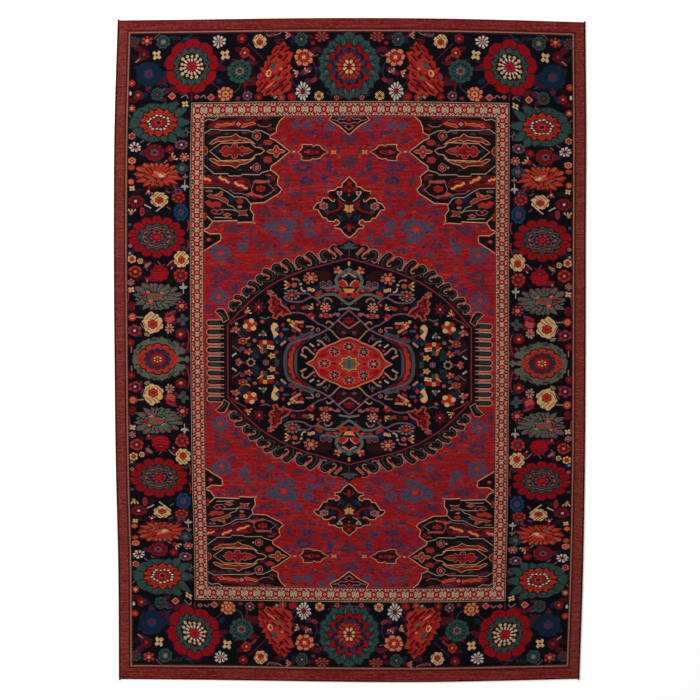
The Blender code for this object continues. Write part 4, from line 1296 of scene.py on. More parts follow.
smallMedallion = (
    (-1.5, 9.5), (0.5, 9.1), (3.4, 8.3), (6, 6.9), (8.4, 6.1), (11, 4.9), (13.4, 3.9), (14.8, 2.4), (15.4, 1),
    (16.4, -0.6), (19.9, -2.5), (19.9, -5.5), (-1.5, -5.5),
)


def drawSmallMedallion():
    edged("field", "ember", "peach", 0.55, smallMedallion)
    strand("field", "garnet", 0.5, ((16.0, -1.6), (13.9, 1.4), (10.6, 3.9), (6.2, 5.8), (2.6, 7.4),
                                    (-1, 8.2)))
    spots("field", 6, 0.12, (
        ("crimson", 11.6, 1.5, 5.0, 2.8, 24), ("red", 12.2, 1.2, 3.0, 1.4, 24),
        ("crimson", 2.8, 2.4, 3.2, 2.8, 0),
        ("crimson", 7.6, -0.4, 4.2, 1.8, 0), ("rust", 14.8, -2.0, 3.4, 1.2, 0),
        ("crimson", 8.8, -2.5, 2.6, 1.0, 0),
        ("clay", 4.8, 1.6, 2.0, 1.6, 0), ("ember", 5.4, -2.5, 3.2, 1.6, 0),
        ("oxblood", 7.0, -2.5, 1.6, 1.2, 0),
        ("rosePink", 5.2, 0.6, 1.6, 2.4, 0),
    ))
    for out, up, wide, tall, middle in ((6.7, 2.9, 4.8, 4.4, "mauvePink"), (0, 5.0, 5.4, 3.8, "peach"),
                                        (11.4, -2.5, 5.6, 4.2, "peach")):
        lay("field", "pink", placed(lobed(wide * 1.06, tall * 1.06, 8, 0.1), out, up))
        ringOfPetals("field", "pitch", out, up, wide, tall, 0, 8, 0.2, 0.12)
        lay("field", middle, placed(lobed(wide * 0.34, tall * 0.34, 5, 0.2), out, up))
    # the star in the middle
    lay("field", "umber", placed(lobed(10.6, 8.0, 8, 0.24, True, 1.5), 0, -2.5))
    lay("field", "gold", placed(lobed(10.0, 7.4, 8, 0.26, True, 1.5), 0, -2.5))
    lay("field", "olive", placed(lobed(8.6, 6.2, 8, 0.26, True, 1.5), 0, -2.5))
    lay("field", "rust", placed(ellipse(7.0, 2.0, 8), 0, -2.5))
    lay("field", "sageLight", placed(lobed(3.6, 6.0, 6, 0.2), 0, -2.5))
    lay("field", "slate", placed(ellipse(2.0, 3.6, 8), 0, -2.2))


smallDiamond = (
    (38.2, 92.8), (36.6, 93.6), (35.0, 93.6), (34.5, 95.0), (33.5, 95.6), (32.6, 94.4), (32.2, 93.7),
    (30.8, 93.5), (29.4, 92.8), (30.8, 92.1), (32.2, 91.9), (32.6, 91.0), (33.5, 89.9), (34.5, 90.6),
    (35.0, 92.0), (36.6, 92.0),
)


def drawCorner():
    # the dark corner piece of the field, its lines, flowers and the hexagon cartouche
    edged("field", "pitch", "lineCream", 0.42, spandrel)
    edged("field", "pitch", "lineCream", 0.42, sideTriangle)
    spots("field", 7, 0.16, (
        ("plum", 62.4, 101.6, 8.0, 2.2, 4), ("umberPitch", 54.0, 101.8, 9.0, 1.6, 0),
        ("plum", 47.4, 101.6, 5.4, 1.4, 0),
        ("oxblood", 62.0, 86.4, 6.6, 2.0, -16), ("umberPitch", 61.0, 84.9, 6.0, 1.4, 0),
        ("forest", 50.6, 84.6, 3.0, 1.0, 0),
        ("ink", 60.6, 93.4, 3.0, 2.6, 0), ("ink", 66.0, 90.0, 2.0, 2.6, 0),
        ("umberPitch", 40.4, 91.0, 4.0, 2.4, -20),
        ("plum", 41.0, 95.4, 3.0, 2.0, 20), ("ink", 53.6, 71.8, 5.0, 3.0, -20),
        ("ink", 36.6, 80.6, 3.0, 1.4, 0),
        ("oxblood", 38.4, 108.2, 5.6, 1.6, 0), ("umberPitch", 38.0, 106.0, 6.0, 1.6, 0),
        ("garnet", 35.8, 102.8, 4.4, 1.2, 16),
        ("umberPitch", 57.0, 67.4, 6.0, 1.6, 0), ("forest", 66.6, 84.2, 2.6, 1.2, 0),
        ("oxblood", 40.2, 78.2, 6.0, 1.0, 0),
        ("garnet", 35.0, 81.0, 2.4, 3.0, 30), ("plum", 34.0, 75.6, 2.0, 2.6, 0),
        ("ink", 49.0, 75.8, 3.4, 2.0, -30),
    ), (0.75, 1.1))
    strands("field", cornerLines, smooth=False)
    edged("field", "oxblood", "garnet", 0.4, redTongue)
    spots("field", 8, 0.18, (
        ("plum", 62.6, 81.0, 5.0, 1.6, 0), ("garnet", 57.0, 79.0, 9.0, 1.8, 18),
        ("crimson", 64.4, 78.9, 6.0, 1.2, 0),
        ("plum", 54.6, 78.4, 4.4, 1.6, 20), ("crimson", 50.0, 79.4, 5.4, 1.2, 0),
        ("garnet", 48.6, 76.4, 4.0, 1.2, 0),
    ), (0.75, 1.1))
    for out, up, length, turn in ((65.4, 80.6, 4.0, -18), (57.6, 80.2, 5.6, -30), (49.8, 77.4, 6.8, -24)):
        streak = [(-length / 2, 0.3), (-length * 0.2, -0.3), (length * 0.1, 0.3), (length * 0.3, -0.2),
                  (length / 2, 0.1)]
        strand("field", "ember", 2.0, placed(streak, out, up, turn), smooth=False, taper=0.3)
        strand("field", "amber", 1.2, placed(streak, out, up, turn), smooth=False, taper=0.3)
        strand("field", "cream", 0.5, placed(streak, out, up, turn), smooth=False, taper=0.5)
    for mirrored in (False, True):
        strip = [(out, 2 * cartoucheMiddle - up if mirrored else up) for out, up in cartoucheStrip]
        edged("field", "russet", "lineCream", 0.28, strip)
        up, turn = (88.2, -10) if mirrored else (98.2, 10)
        spots("field", 5, 0.2, [("ember", out, up, 2.6, 0.8, turn) for out in (61.0, 57.4, 48.6)])
    strand("field", "lineCream", 0.36, cartoucheGround, smooth=False, closed=True)
    edged("field", "garnet", "pink", 0.34, cartoucheFlower)
    spots("field", 6, 0.2, (
        ("crimson", 57.0, 93.4, 3.2, 2.8), ("rust", 48.4, 93.4, 4.4, 1.8), ("crimson", 52.8, 95.2, 1.0, 1.6),
        ("crimson", 52.8, 91.2, 1.0, 1.6), ("ember", 54.0, 93.2, 3.6, 0.7), ("pitch", 52.6, 93.2, 0.9, 1.6),
        ("olive", 46.6, 93.4, 1.6, 0.8),
    ), (0.8, 1.1))
    edged("field", "rust", "lineCream", 0.26, smallDiamond)
    lay("field", "garnet", placed(lobed(2.4, 3.0, 4, 0.3, True), 33.7, 92.8))
    lay("field", "pink", placed(lobed(1.4, 1.8, 4, 0.3, True), 33.7, 92.8))
    edged("field", "pitch", "mauvePink", 0.38, smallHexagon)
    rose("field", 40.7, 76.0, 4.8, 3.0, 0, 6, "ember", "crimson", "garnet")
    edged("field", "russet", "amber", 0.32, placed(ellipse(4.4, 4.2, 10), 67.4, 93.4))
    for fill, rim, width, points in cornerShapes:
        edged("field", fill, rim, width, points)
    lay("field", "pale", placed(lobed(2.2, 1.8, 4, 0.3, True, 0.5), 51.1, 105.3))
    lay("field", "rosePink", placed(ellipse(1.0, 0.8, 5), 51.1, 105.3))
    bouquet("field", cornerFlowers)


def drawEndPieces():
    # the pieces in the middle of each end of the field
    edged("field", "pitch", "lineCream", 0.42, endDiamond)
    lay("field", "plum", placed(lobed(7, 2.0, 7, 0.2), 4, 108.2))
    strands("field", (
        ("mauvePink", 0.4, ((8.0, 107.0), (5.6, 106.6), (4.4, 107.4), (2.2, 107.0), (0.8, 108.4))),
        ("mauvePink", 0.4, ((5.6, 106.6), (4.0, 105.4), (2.2, 105.8), (0, 105.0))),
        ("blush", 0.35, ((2.0, 103.8), (0, 102.4), (-1, 102.0))),
        ("crimson", 0.5, ((3.0, 104.6), (1.4, 103.8))),
    ), smooth=False)
    lay("field", "crimson", placed(lobed(2.4, 2.4, 4, 0.3, True), 0, 107.2))
    lay("field", "rosePink", placed(lobed(1.8, 1.2, 4, 0.3, True), 1.4, 104.4))
    edged("field", "oxblood", "lineCream", 0.32, sideCartouche)
    lay("field", "pitch", placed(uneven(lobed(10.6, 4.6, 9, 0.16), 17.6, 92.5, 0.85, 1.1), 17.2, 92.5))
    spots("field", 6, 0.22, (
        ("garnet", 17.4, 92.5, 6.6, 2.8), ("pitch", 17.0, 92.5, 2.2, 1.7), ("rust", 19.0, 92.6, 2.0, 2.2),
        ("crimson", 14.6, 92.5, 1.8, 1.6), ("ember", 17.0, 92.5, 1.0, 0.8),
        ("rosePink", 20.6, 92.5, 1.4, 1.0),
    ), (0.8, 1.1))
    lay("field", "gold", placed(lobed(2.2, 1.3, 4, 0.45, True), 25.6, 92.7))
    lay("field", "gold", placed(lobed(4.0, 2.8, 4, 0.62, True), 7.1, 92.4))
    lay("field", "crimson", placed(ellipse(0.8, 0.7, 5), 7.1, 92.4))
    edged("field", "pitch", "lineCream", 0.42, pendant)
    spots("field", 7, 0.18, (
        ("oxblood", 0, 76.6, 4.6, 6.2, 0), ("garnet", 2.6, 75.6, 2.8, 2.2, 0),
        ("crimson", 0, 78.0, 1.8, 2.6, 0),
        ("crimson", 0, 74.8, 1.6, 1.6, 0), ("pitch", 0, 76.4, 1.0, 1.1, 0),
        ("umberPitch", 8.0, 72.2, 5.0, 1.8, -30),
        ("ink", 8.2, 67.8, 4.4, 2.6, 0), ("ink", 3.4, 62.6, 3.6, 2.8, 0), ("ink", 5.0, 71.0, 2.0, 1.6, 0),
        ("garnet", 3.8, 68.8, 2.6, 2.0, 0), ("garnet", 0, 58.6, 2.4, 4.0, 0),
        ("crimson", 0, 58.2, 1.4, 1.8, 0),
        ("plum", 0, 63.6, 2.0, 1.6, 0), ("umberPitch", 9.0, 63.6, 4.0, 1.4, 0),
    ), (0.8, 1.08))
    strands("field", (
        ("pale", 0.36, ((4.6, 72.2), (3.2, 70.9), (1.8, 70.0))),
        ("garnet", 1.0, ((2.4, 69.4), (3.8, 67.6), (6.0, 66.0), (9.0, 65.4), (10.8, 64.4))),
        ("garnet", 0.9, ((5.2, 70.4), (3.6, 69.6), (2.8, 67.4), (2.6, 65.6))),
        ("sageDark", 0.45, ((5.4, 64.2), (4.6, 63.4), (4.2, 62.2))),
        ("rosePink", 0.36, ((2.6, 58.2), (1.4, 59.2))),
        ("slate", 0.5, ((2.2, 65.4), (1.0, 64.4), (0, 64.2))),
    ))
    lay("field", "oxblood", placed(lobed(6.6, 5.6, 9, 0.1), 0, 67.0))
    lay("field", "pitch", placed(lobed(5.8, 4.8, 9, 0.1), 0, 67.0))
    for turn, reach, width in ((38, 2.6, 1.7), (142, 2.6, 1.7), (-14, 2.6, 1.6), (194, 2.6, 1.6),
                               (-60, 2.2, 1.4), (240, 2.2, 1.4)):
        fan("field", 0, 67.0, (("gold", turn, 0.1, reach, width),))
    strand("field", "crimson", 0.5, ((0.001, 68.4), (0, 66.2)), smooth=False)
    lay("field", "mauvePink", placed(lobed(4.6, 3.4, 6, 0.24), 11.8, 68.0))
    lay("field", "rust", placed(lobed(2.8, 2.0, 5, 0.24), 11.6, 68.0))
    lay("field", "ember", placed(ellipse(1.3, 1.0, 5), 11.6, 68.1))
    lay("field", "sageDark", placed(ellipse(2.6, 1.2, 8), 10.6, 65.8, 30))
    heart = [(0, -1.3), (1.2, -0.1), (1.3, 0.9), (0.7, 1.2), (0, 0.8), (-0.7, 1.2), (-1.3, 0.9), (-1.2, -0.1)]
    lay("field", "pale", placed(heart, 4.4, 73.5))
    lay("field", "crimson", placed([(x * 0.6, y * 0.6) for x, y in heart], 4.4, 73.6))
    lay("field", "ember", placed(ellipse(1.1, 1.4, 6), 0, 72.8))


def drawField():
    stray = random.Random(21)
    for number in range(1, 150, 2):
        ghost(("plum", "blotchMauve", "fieldOrange")[number % 3], stray.uniform(0, 66),
              stray.uniform(14, 108),
              stray.uniform(0.5, 2.5), stray.uniform(0.5, 1.5), False)
    for row in fieldPatches:
        ghost(*row)
    spots("field", 6, 0.14, (("fieldOrange", 60.0, 27.6, 2.8, 2.0), ("fieldOrange", 30.6, 58.0, 3.4, 2.4),
                             ("fieldOrange", 59.2, 47.2, 2.6, 2.0)))
    drawCorner()
    drawEndPieces()
    drawMedallion()


def hook(out, up, turn, share):
    # one round head and one slanting leaf of the medallion's hooked edge, parted by curled slits
    def at(points):
        return placed([(x * share, y * share) for x, y in points], out, up, turn)

    leaf = ((2.0, 2.4), (3.4, 3.6), (4.6, 3.7), (5.6, 2.8), (6.8, 1.4), (8.0, -0.6), (7.4, -3.2), (5.2, -3.4),
            (4.6, -1.2))
    edged("field", "pitch", "blush", 0.3, at(ellipse(4.6, 4.9, 12)))
    edged("field", "pitch", "blush", 0.3, at(leaf))
    lay("field", "pitch", at([(-1.6, -1.6), (-0.6, -4.6), (8.4, -4.4), (8.6, -1.6), (5.0, -1.6), (2.0, 0.6)]))
    strand("field", "sageDark", 0.5 * share,
           at([(0.9, 1.3), (-0.4, 1.3), (-1.2, 0.2), (-0.6, -1.1), (0.8, -1.8),
                                                 (2.6, -2.8), (4.6, -3.4), (6.6, -3.2)]))
    strand("field", "sageDark", 0.45 * share,
           at([(3.8, 2.6), (4.9, 2.0), (6.0, 0.4), (6.5, -1.4), (6.0, -2.4)]))
    strand("field", "tan", 0.45 * share,
           at([(1.8, 2.6), (2.2, 1.5), (3.2, 0.7), (4.2, -0.2), (4.5, -1.3), (3.7, -2.0),
                                               (2.8, -1.5)]))
    strand("field", "garnet", 0.4 * share, at([(2.4, 2.6), (2.9, 1.7), (3.9, 0.9), (4.8, 0.1)]))
    strand("field", "mauvePink", 0.5 * share,
           at([(-3.0, 1.2), (-2.6, -0.8), (-1.9, -2.2), (-0.6, -2.9), (0.4, -2.3)]))


# Parts of the medallion that have no like: yarn, then the outline.
sideBands = (
    ("slate", ((30.4, -5), (30.4, -1), (29.9, 2.9), (28.3, 6.2), (24.4, 9.3), (19.6, 11.4), (16.6, 12.2),
               (15.4, 9.9), (18.6, 8.0), (22.3, 5.3), (23.9, 2.3), (24.0, -1), (24.0, -5))),
    ("oxblood", ((28.9, -5), (28.8, -1), (28.5, 2.5), (26.9, 5.4), (23.6, 8.0), (18.9, 10.6), (18.0, 8.8),
                 (21.0, 6.3), (23.9, 3.8), (25.2, 1.3), (25.3, -5))),
    ("ember", ((28.3, -5), (28.2, -1), (27.4, 0.4), (27.9, 2.3), (26.4, 3.1), (26.4, 5.0), (24.8, 5.2),
               (25.0, 3.4), (26.0, 1.2), (26.0, -5))),
    ("crimson", ((25.8, 5.4), (24.4, 6.8), (22.0, 8.0), (22.4, 6.9), (24.2, 5.4))),
)
tulip = (
    ("sageLight", ((-0.2, 41.0), (0.6, 40.2), (1.8, 39.9), (1.0, 39.2), (1.4, 38.4), (-0.2, 38.6))),
    ("gold", ((-0.2, 43.4), (0.6, 43.2), (0.4, 41.4), (-0.2, 41.4))),
    ("ember", ((4.4, 35.0), (2.4, 34.9), (0.7, 33.9), (0.2, 32.2), (2.6, 31.5), (4.7, 32.6), (5.1, 34.0))),
    ("crimson", ((3.8, 34.2), (2.2, 33.9), (1.6, 32.8), (3.0, 32.2), (4.3, 33.0))),
    ("pitch", ((-0.2, 37.2), (0.1, 37.2), (0.8, 35.8), (2.4, 35.1), (0.9, 34.2), (0.1, 32.6), (-0.2, 32.6))),
    ("gold", ((-0.2, 31.0), (2.9, 31.1), (2.2, 30.2), (1.5, 29.2), (-0.2, 29.0))),
    ("ember", ((4.4, 29.4), (1.7, 29.6), (0.7, 28.5), (1.3, 27.0), (3.9, 26.9), (5.3, 28.2))),
    ("crimson", ((3.9, 28.9), (2.2, 28.8), (2.0, 27.6), (3.8, 27.4))),
    ("plum", ((-0.2, 28.6), (0.6, 27.8), (0.6, 26.8), (-0.2, 26.2))),
)
chequered = (
    ("crimson", ((41.6, 7.8), (39.9, 7.8), (39.9, 6.1), (41.6, 6.1))),
    ("gold", ((39.8, 8.0), (38.0, 8.0), (38.0, 6.1), (39.8, 6.1))),
    ("crimson", ((37.8, 7.8), (34.8, 7.6), (34.8, 6.0), (37.8, 6.0))),
    ("ember", ((41.6, 6.0), (39.8, 6.0), (39.8, 3.9), (41.6, 3.9))),
    ("umber", ((39.7, 6.0), (38.0, 6.0), (38.0, 4.6), (39.7, 4.6))),
    ("cream", ((37.9, 5.9), (34.4, 5.4), (34.9, 3.6), (37.9, 4.2))),
    ("ember", ((37.4, 5.2), (35.8, 4.9), (36.0, 4.3), (37.4, 4.6))),
    ("sage", ((39.6, 4.4), (37.9, 4.4), (37.9, 2.2), (39.6, 2.2))),
    ("clay", ((41.3, 3.8), (39.7, 3.8), (39.7, 1.8), (40.8, 2.2))),
)
paleBloom = (
    ("cream", ((35.9, 12.7), (36.0, 14.4), (34.8, 15.9), (33.4, 15.6), (32.5, 14.4), (33.6, 13.4),
               (34.2, 12.3), (32.3, 10.7), (34.5, 8.8), (35.1, 10.7))),
    ("slate", ((34.2, 13.2), (32.6, 13.8), (32.0, 12.6), (33.2, 11.6), (34.2, 12.0))),
    ("garnet", ((33.6, 13.0), (32.8, 13.1), (32.8, 12.3), (33.6, 12.3))),
    ("slate", ((30.8, 13.2), (29.6, 13.6), (27.6, 13.2), (27.8, 12.4), (29.4, 12.2), (30.6, 12.4))),
    ("crimson", ((31.4, 14.6), (30.4, 16.0), (29.6, 14.6), (30.4, 13.8))),
    ("ember", ((32.2, 10.2), (31.2, 11.8), (30.2, 10.4), (31.0, 9.0))),
)
medallionLines = (
    ("blush", 0.55, ((0, 38.2), (1.4, 37.0), (2.8, 36.3))),
    ("pale", 0.35, ((3.2, 35.2), (1.8, 34.4), (0.9, 33.2), (0.3, 32.2))),
    ("cream", 0.4, ((42.4, 5.8), (41.0, 4.8), (39.9, 4.0))),
    ("rosePink", 0.45, ((47.4, -2.0), (49.6, -1.8), (51.6, -0.2))),
    ("mauve", 0.5, ((53.8, 5.5), (51.8, 4.2), (49.9, 2.6))),
    ("sageLight", 0.5, ((41.0, 18.4), (38.6, 17.6), (36.4, 18.4))),
)


def drawComb():
    # the toothed band down the side of the medallion
    lay("field", "pitch", [(60.4, -5), (60.4, 17.0), (58.6, 17.4), (56, 15), (56, -5)])
    tip, base, half = comb["tips"], comb["base"], comb["half"]
    for k in range(comb["fingers"]):
        up = comb["first"] - k * comb["step"]
        finger = [(base, up - half), (base, up + half), (tip - 0.9, up + half), (tip, up + half * 0.4),
                  (tip, up - half * 0.4), (tip - 0.9, up - half)]
        edged("field", "pitch", "blush", 0.42, finger)
        strand("field", "forest", 1.1, ((64.6, up), (59.6, up)), smooth=False)
        gap = up - comb["step"] / 2
        strand("field", "blush", 1.15, ((64.9, gap), (59.9, gap)), smooth=False)
        strand("field", "crimson", 0.55, ((64.9, gap), (60.2, gap)), smooth=False)
        lay("field", "mauvePink", placed(ellipse(1.3, 1.6, 7), 59.7, up - 1.6))
    lay("field", "pitch", [(57.8, -5), (57.8, 17.2), (56, 15), (56, -5)])
    edged("field", "pitch", "blush", 0.42, (
        (61.9, 21.2), (60, 22.4), (57.8, 22.2), (56.6, 20.4), (55.4, 17.6), (58, 16), (58.8, 18.2)))
    strand("field", "sageDark", 0.7, ((60.6, 20.8), (58.6, 19.8), (57.2, 17.6)))


def drawCrown():
    # the crown over the top of the medallion
    lay("field", "pitch", topCrown)
    strand("field", "sageDark", 0.5, ((0, 52.6), (-0.001, 45.6)), smooth=False)
    for turn, reach, width in ((90, 3.0, 2.4), (40, 3.4, 1.5), (140, 3.4, 1.5), (8, 4.2, 1.2),
                               (172, 4.2, 1.2)):
        fan("field", 0, 49.2, (("slate", turn, 0.2, reach, width),))
    strand("field", "blush", 1.2, ((6.6, 49.4), (3.4, 46.4)), smooth=False)
    strand("field", "crimson", 0.6, ((6.6, 49.4), (3.6, 46.6)), smooth=False)


def drawMedallion():
    toMiddle = ((-2, -5),)
    lay("field", "pitch", medallionEdge + toMiddle)
    lay("field", "pitch", hookGroundEdge + toMiddle)
    drawComb()
    for place in hookPlaces:
        hook(*place)
    drawCrown()
    # inside the maroon line
    lay("field", "navy", medallionEdge + toMiddle)
    spots("field", 6, 0.2, innerShades)
    strand("field", "oxblood", 0.9, medallionEdge, smooth=False)
    strand("field", "rosePink", 0.35, medallionEdge, smooth=False)
    patches("field", sideBands)
    strands("field", medallionVines)
    patches("field", tulip + chequered + paleBloom)
    strands("field", medallionLines, smooth=False)
    lay("field", "beige", placed(lobed(4.8, 4.8, 8, 0.32, True), 45.3, -2.0))
    lay("field", "pitch", placed(lobed(2.8, 2.8, 8, 0.2, True), 45.3, -2.0))
    lay("field", "gold", placed(lobed(4.2, 3.2, 5, 0.42, True), 35.6, 0.9))
    lay("field", "ember", placed(ellipse(1.0, 0.9, 6), 35.6, 0.9))
    lay("field", "garnet", clayTriangle)
    strand("field", "clay", 0.75, clayTriangle, smooth=False, closed=True)
    for points in (((35.6, 27.2), (34.2, 26.2), (35.4, 24.6), (33.8, 23.4), (35.2, 21.8), (33.8, 21.0)),
                   ((32.6, 25.6), (32.6, 23.6), (30.6, 22.2), (28.8, 20.8)),
                   ((34.2, 19.2), (32.6, 21.2), (31.2, 20.8))):
        strand("field", "pitch", 0.8, points, smooth=False)
    for out, up in ((32.9, 24.2), (30.9, 20.8), (34.6, 23.0), (35.4, 21.6), (35.9, 25.0)):
        lay("field", "ember", placed(ellipse(1.5, 0.9, 6), out, up, 30))
    bouquet("field", medallionFlowers)
    drawSmallMedallion()


# The narrow ivory stripe between field and border, and the plain band round the outside.

guardRow = {
    "endPitch": 5.85, "endUp": 111.75, "endRings": 13, "endTooth": 1.463, "endTeeth": 47,
    "sidePitch": 4.29, "sideOut": 70.06, "sideRings": 26, "sideTooth": 1.43, "sideTeeth": 76,
}


def guardSpots(first, fewer):
    # places along the end and up the side, with the way each one faces
    for step in range(guardRow["endRings"] - fewer):
        yield guardRow["endPitch"] * (step + first), guardRow["endUp"], 0
    for step in range(guardRow["sideRings"] - fewer):
        yield guardRow["sideOut"], guardRow["sidePitch"] * (step + first), 90


def drawGuard():
    for out, up, turn in guardSpots(0, 0):
        long = turn == 0
        girth, tall = (2.9, 3.5) if long else (2.5, 3.1)
        for across in (-1, 1):
            for rise in (-1, 1):
                arm = [(across * girth * 0.36, rise * tall * 0.34),
                       (across * girth * 0.72, rise * tall * 0.66)]
                strand("guard", "garnet", 0.75, placed(arm, out, up, turn), smooth=False)
        lay("guard", "garnet", placed(lobed(girth, tall, 6, 0.08), out, up, turn))
        lay("guard", "red", placed(ellipse(girth * 0.86, tall * 0.86, 8), out, up, turn))
        lay("guard", "ivoryPink", placed(ellipse(girth * 0.42, tall * 0.42, 7), out, up, turn))
        lay("guard", "garnet", placed(ellipse(girth * 0.16, tall * 0.16, 5), out, up, turn))
    for out, up, turn in guardSpots(0.5, 1):
        lozenge("guard", out, up, *((1.1, 2.1) if turn else (2.1, 2.8)), turn)
    # a toothed line along both edges
    for step in range(guardRow["endTeeth"]):
        out = guardRow["endTooth"] * step
        for up, lean in ((109.5, 0.5), (114.0, -0.5)):
            lay("guard", "garnet", [(out - lean, up - 0.5), (out + 0.6 - lean, up - 0.5),
                                    (out + 0.6 + lean, up + 0.5),
                                    (out + lean, up + 0.5)])
    for step in range(guardRow["sideTeeth"]):
        up = guardRow["sideTooth"] * step
        for out, lean in ((67.85, 0.4), (72.25, -0.4)):
            lay("guard", "garnet", [(out - 0.4, up - lean), (out - 0.4, up + 0.6 - lean),
                                    (out + 0.4, up + 0.6 + lean),
                                    (out + 0.4, up + lean)])


def lozenge(zone, out, up, wide, tall, turn):
    # the pale square between two rings, notched by dark ticks
    half, rise = wide / 2, tall / 2
    lay(zone, "ivoryGreen", placed([(-half, -rise * 0.5), (-half * 0.5, -rise), (half * 0.5, -rise),
                                    (half, -rise * 0.5),
                                    (half, rise * 0.5), (half * 0.5, rise), (-half * 0.5, rise),
                                    (-half, rise * 0.5)],
                                   out, up, turn))
    for side in (-1, 1):
        tick = [(side * half * 0.1, side * rise * 0.70), (side * half * 0.8, side * rise * 1.40)]
        strand(zone, "umber", 0.55, placed(tick, out, up, turn), smooth=False)
        tick = [(-side * half * 0.20, side * rise * 0.9), (-side * half * 0.9, side * rise * 1.40)]
        strand(zone, "garnet", 0.5, placed(tick, out, up, turn), smooth=False)


def drawBand():
    # the lines between the stripes of the frame
    def frameLine(zone, yarn, out, up, width):
        for points in ([(out, -2), (out, up)], [(out + width / 2, up), (-2, up)]):
            strand(zone, yarn, width, points, smooth=False)

    lay("band", "endRed", [(-3, 147.2), (103.9, 147.2), (109.6, 153.6), (109.6, 156), (-3, 156)])
    frameLine("band", "bandDark", 103.5, 147.6, 0.6)
    frameLine("band", "beige", 102.7, 146.75, 0.5)
    frameLine("border", "umber", 102.2, 146.15, 0.4)
    frameLine("border", "ivoryPink", 73.0, 115.0, 0.4)
    frameLine("guard", "umberPitch", 72.75, 114.7, 0.5)
    frameLine("guard", "umberPitch", 67.15, 108.75, 0.4)


# Weaving: the painted outlines of a zone become one flat net of triangles, each in one yarn.


def zoneGround(zone):
    (outerOut, outerUp), inner = zoneBounds[zone]["outer"], zoneBounds[zone]["inner"]
    if inner is None:
        return [(0, 0), (outerOut, 0), (outerOut, outerUp), (0, outerUp)]
    innerOut, innerUp = inner
    return [(innerOut, 0), (outerOut, 0), (outerOut, outerUp), (0, outerUp), (0, innerUp),
            (innerOut, innerUp)]


def stationed(points, longest):
    line = []
    for here, there in zip(points, points[1:] + points[:1]):
        steps = max(1, math.ceil(math.dist(here, there) / longest))
        for step in range(steps):
            share = step / steps
            line.append((here[0] + (there[0] - here[0]) * share, here[1] + (there[1] - here[1]) * share))
    return line


def weave(grounds, painted):
    # cuts the grounds along every outline; gives points, and for each ground its triangles with their yarns
    shapes = [stationed(ground, weaving["longestEdge"]) for yarn, ground in grounds]
    names = [yarn for yarn, ground in grounds]
    for yarn, outline in painted:
        outline = outline if area(outline) > 0 else outline[::-1]
        shapes.append(stationed(outline, weaving["longestEdge"]))
        names.append(yarn)
    points, faces = [], []
    for shape in shapes:
        faces.append(list(range(len(points), len(points) + len(shape))))
        points.extend(Vector(point) for point in shape)
    net = geometry.delaunay_2d_cdt(points, [], faces, 1, weaving["closest"])
    flat, triangles, owners = net[0], net[2], net[5]
    pieces = [[] for ground in grounds]
    for corners, owner in zip(triangles, owners):
        for number in range(len(grounds)):
            if number in owner:
                pieces[number].append((corners, names[max(owner)]))
                break
    return flat, pieces


quarters = ((-1, 1), (1, 1), (-1, -1), (1, -1))


# How far a yarn of a zone is dyed unevenly: as red field, as worn flower, as plain band.
unevenDye = {
    "field": {"fieldRed": (1.0, 0.0, 0.0), "blotchBlue": (0.0, 1.0, 0.0), "blotchMauve": (0.0, 1.0, 0.0),
              "indigo": (0.0, 1.0, 0.0)},
    "band": {"bandRed": (0.0, 0.0, 1.0), "endRed": (0.0, 0.0, 0.8)},
    "border": {},
    "guard": {},
}


def pileObject(name, nets, wanted, material, top, bottom, faceUp=True):
    # a closed slab: the net laid in the wanted quarters, joined on the axes, with walls and a plain far face
    cloth = bmesh.new()
    dye = cloth.loops.layers.float_color.new("yarn")
    dyeing = cloth.loops.layers.float_color.new("dyeing")
    level, hidden = (top, bottom) if faceUp else (bottom, top)
    for side, end in wanted:
        for zone, flat, woven in nets:
            places = {}
            for corners, yarn in woven:
                ring = []
                for corner in corners if side * end > 0 else corners[::-1]:
                    if corner not in places:
                        x, y = wovenPlace(zone, flat[corner].x, flat[corner].y, side, end)
                        places[corner] = cloth.verts.new((x, y, level))
                    ring.append(places[corner])
                for loop in cloth.faces.new(ring).loops:
                    loop[dye] = (*dyed[yarn], 1.0)
                    loop[dyeing] = (*unevenDye[zone].get(yarn, (0.0, 0.0, 0.0)), 1.0)
    bmesh.ops.remove_doubles(cloth, verts=cloth.verts, dist=weaving["weld"])
    bmesh.ops.dissolve_degenerate(cloth, dist=weaving["sliver"], edges=cloth.edges)
    rims = [edge for edge in cloth.edges if edge.is_boundary]
    walls = bmesh.ops.extrude_edge_only(cloth, edges=rims)["geom"]
    for part in walls:
        if isinstance(part, bmesh.types.BMVert):
            part.co.z = hidden
    lower = [part for part in walls if isinstance(part, bmesh.types.BMEdge) and part.is_boundary]
    bmesh.ops.triangle_fill(cloth, edges=lower, use_beauty=False)
    bmesh.ops.recalc_face_normals(cloth, faces=cloth.faces)
    mesh = bpy.data.meshes.new(name)
    cloth.to_mesh(mesh)
    cloth.free()
    piece = bpy.data.objects.new(name, mesh)
    bpy.context.scene.collection.objects.link(piece)
    mesh.materials.append(material)
    print(name, len(mesh.polygons), "faces")
    return piece


# Wrapped cords: one strand of yarn wound round and round the edge.

cords = {
    "side": {"pitch": 0.0023, "sides": 10, "dip": 0.84, "tip": 0.55, "slant": 0.5},
    "end": {"pitch": 0.0026, "sides": 8, "dip": 0.82, "tip": 0.55, "slant": 0.5},
}


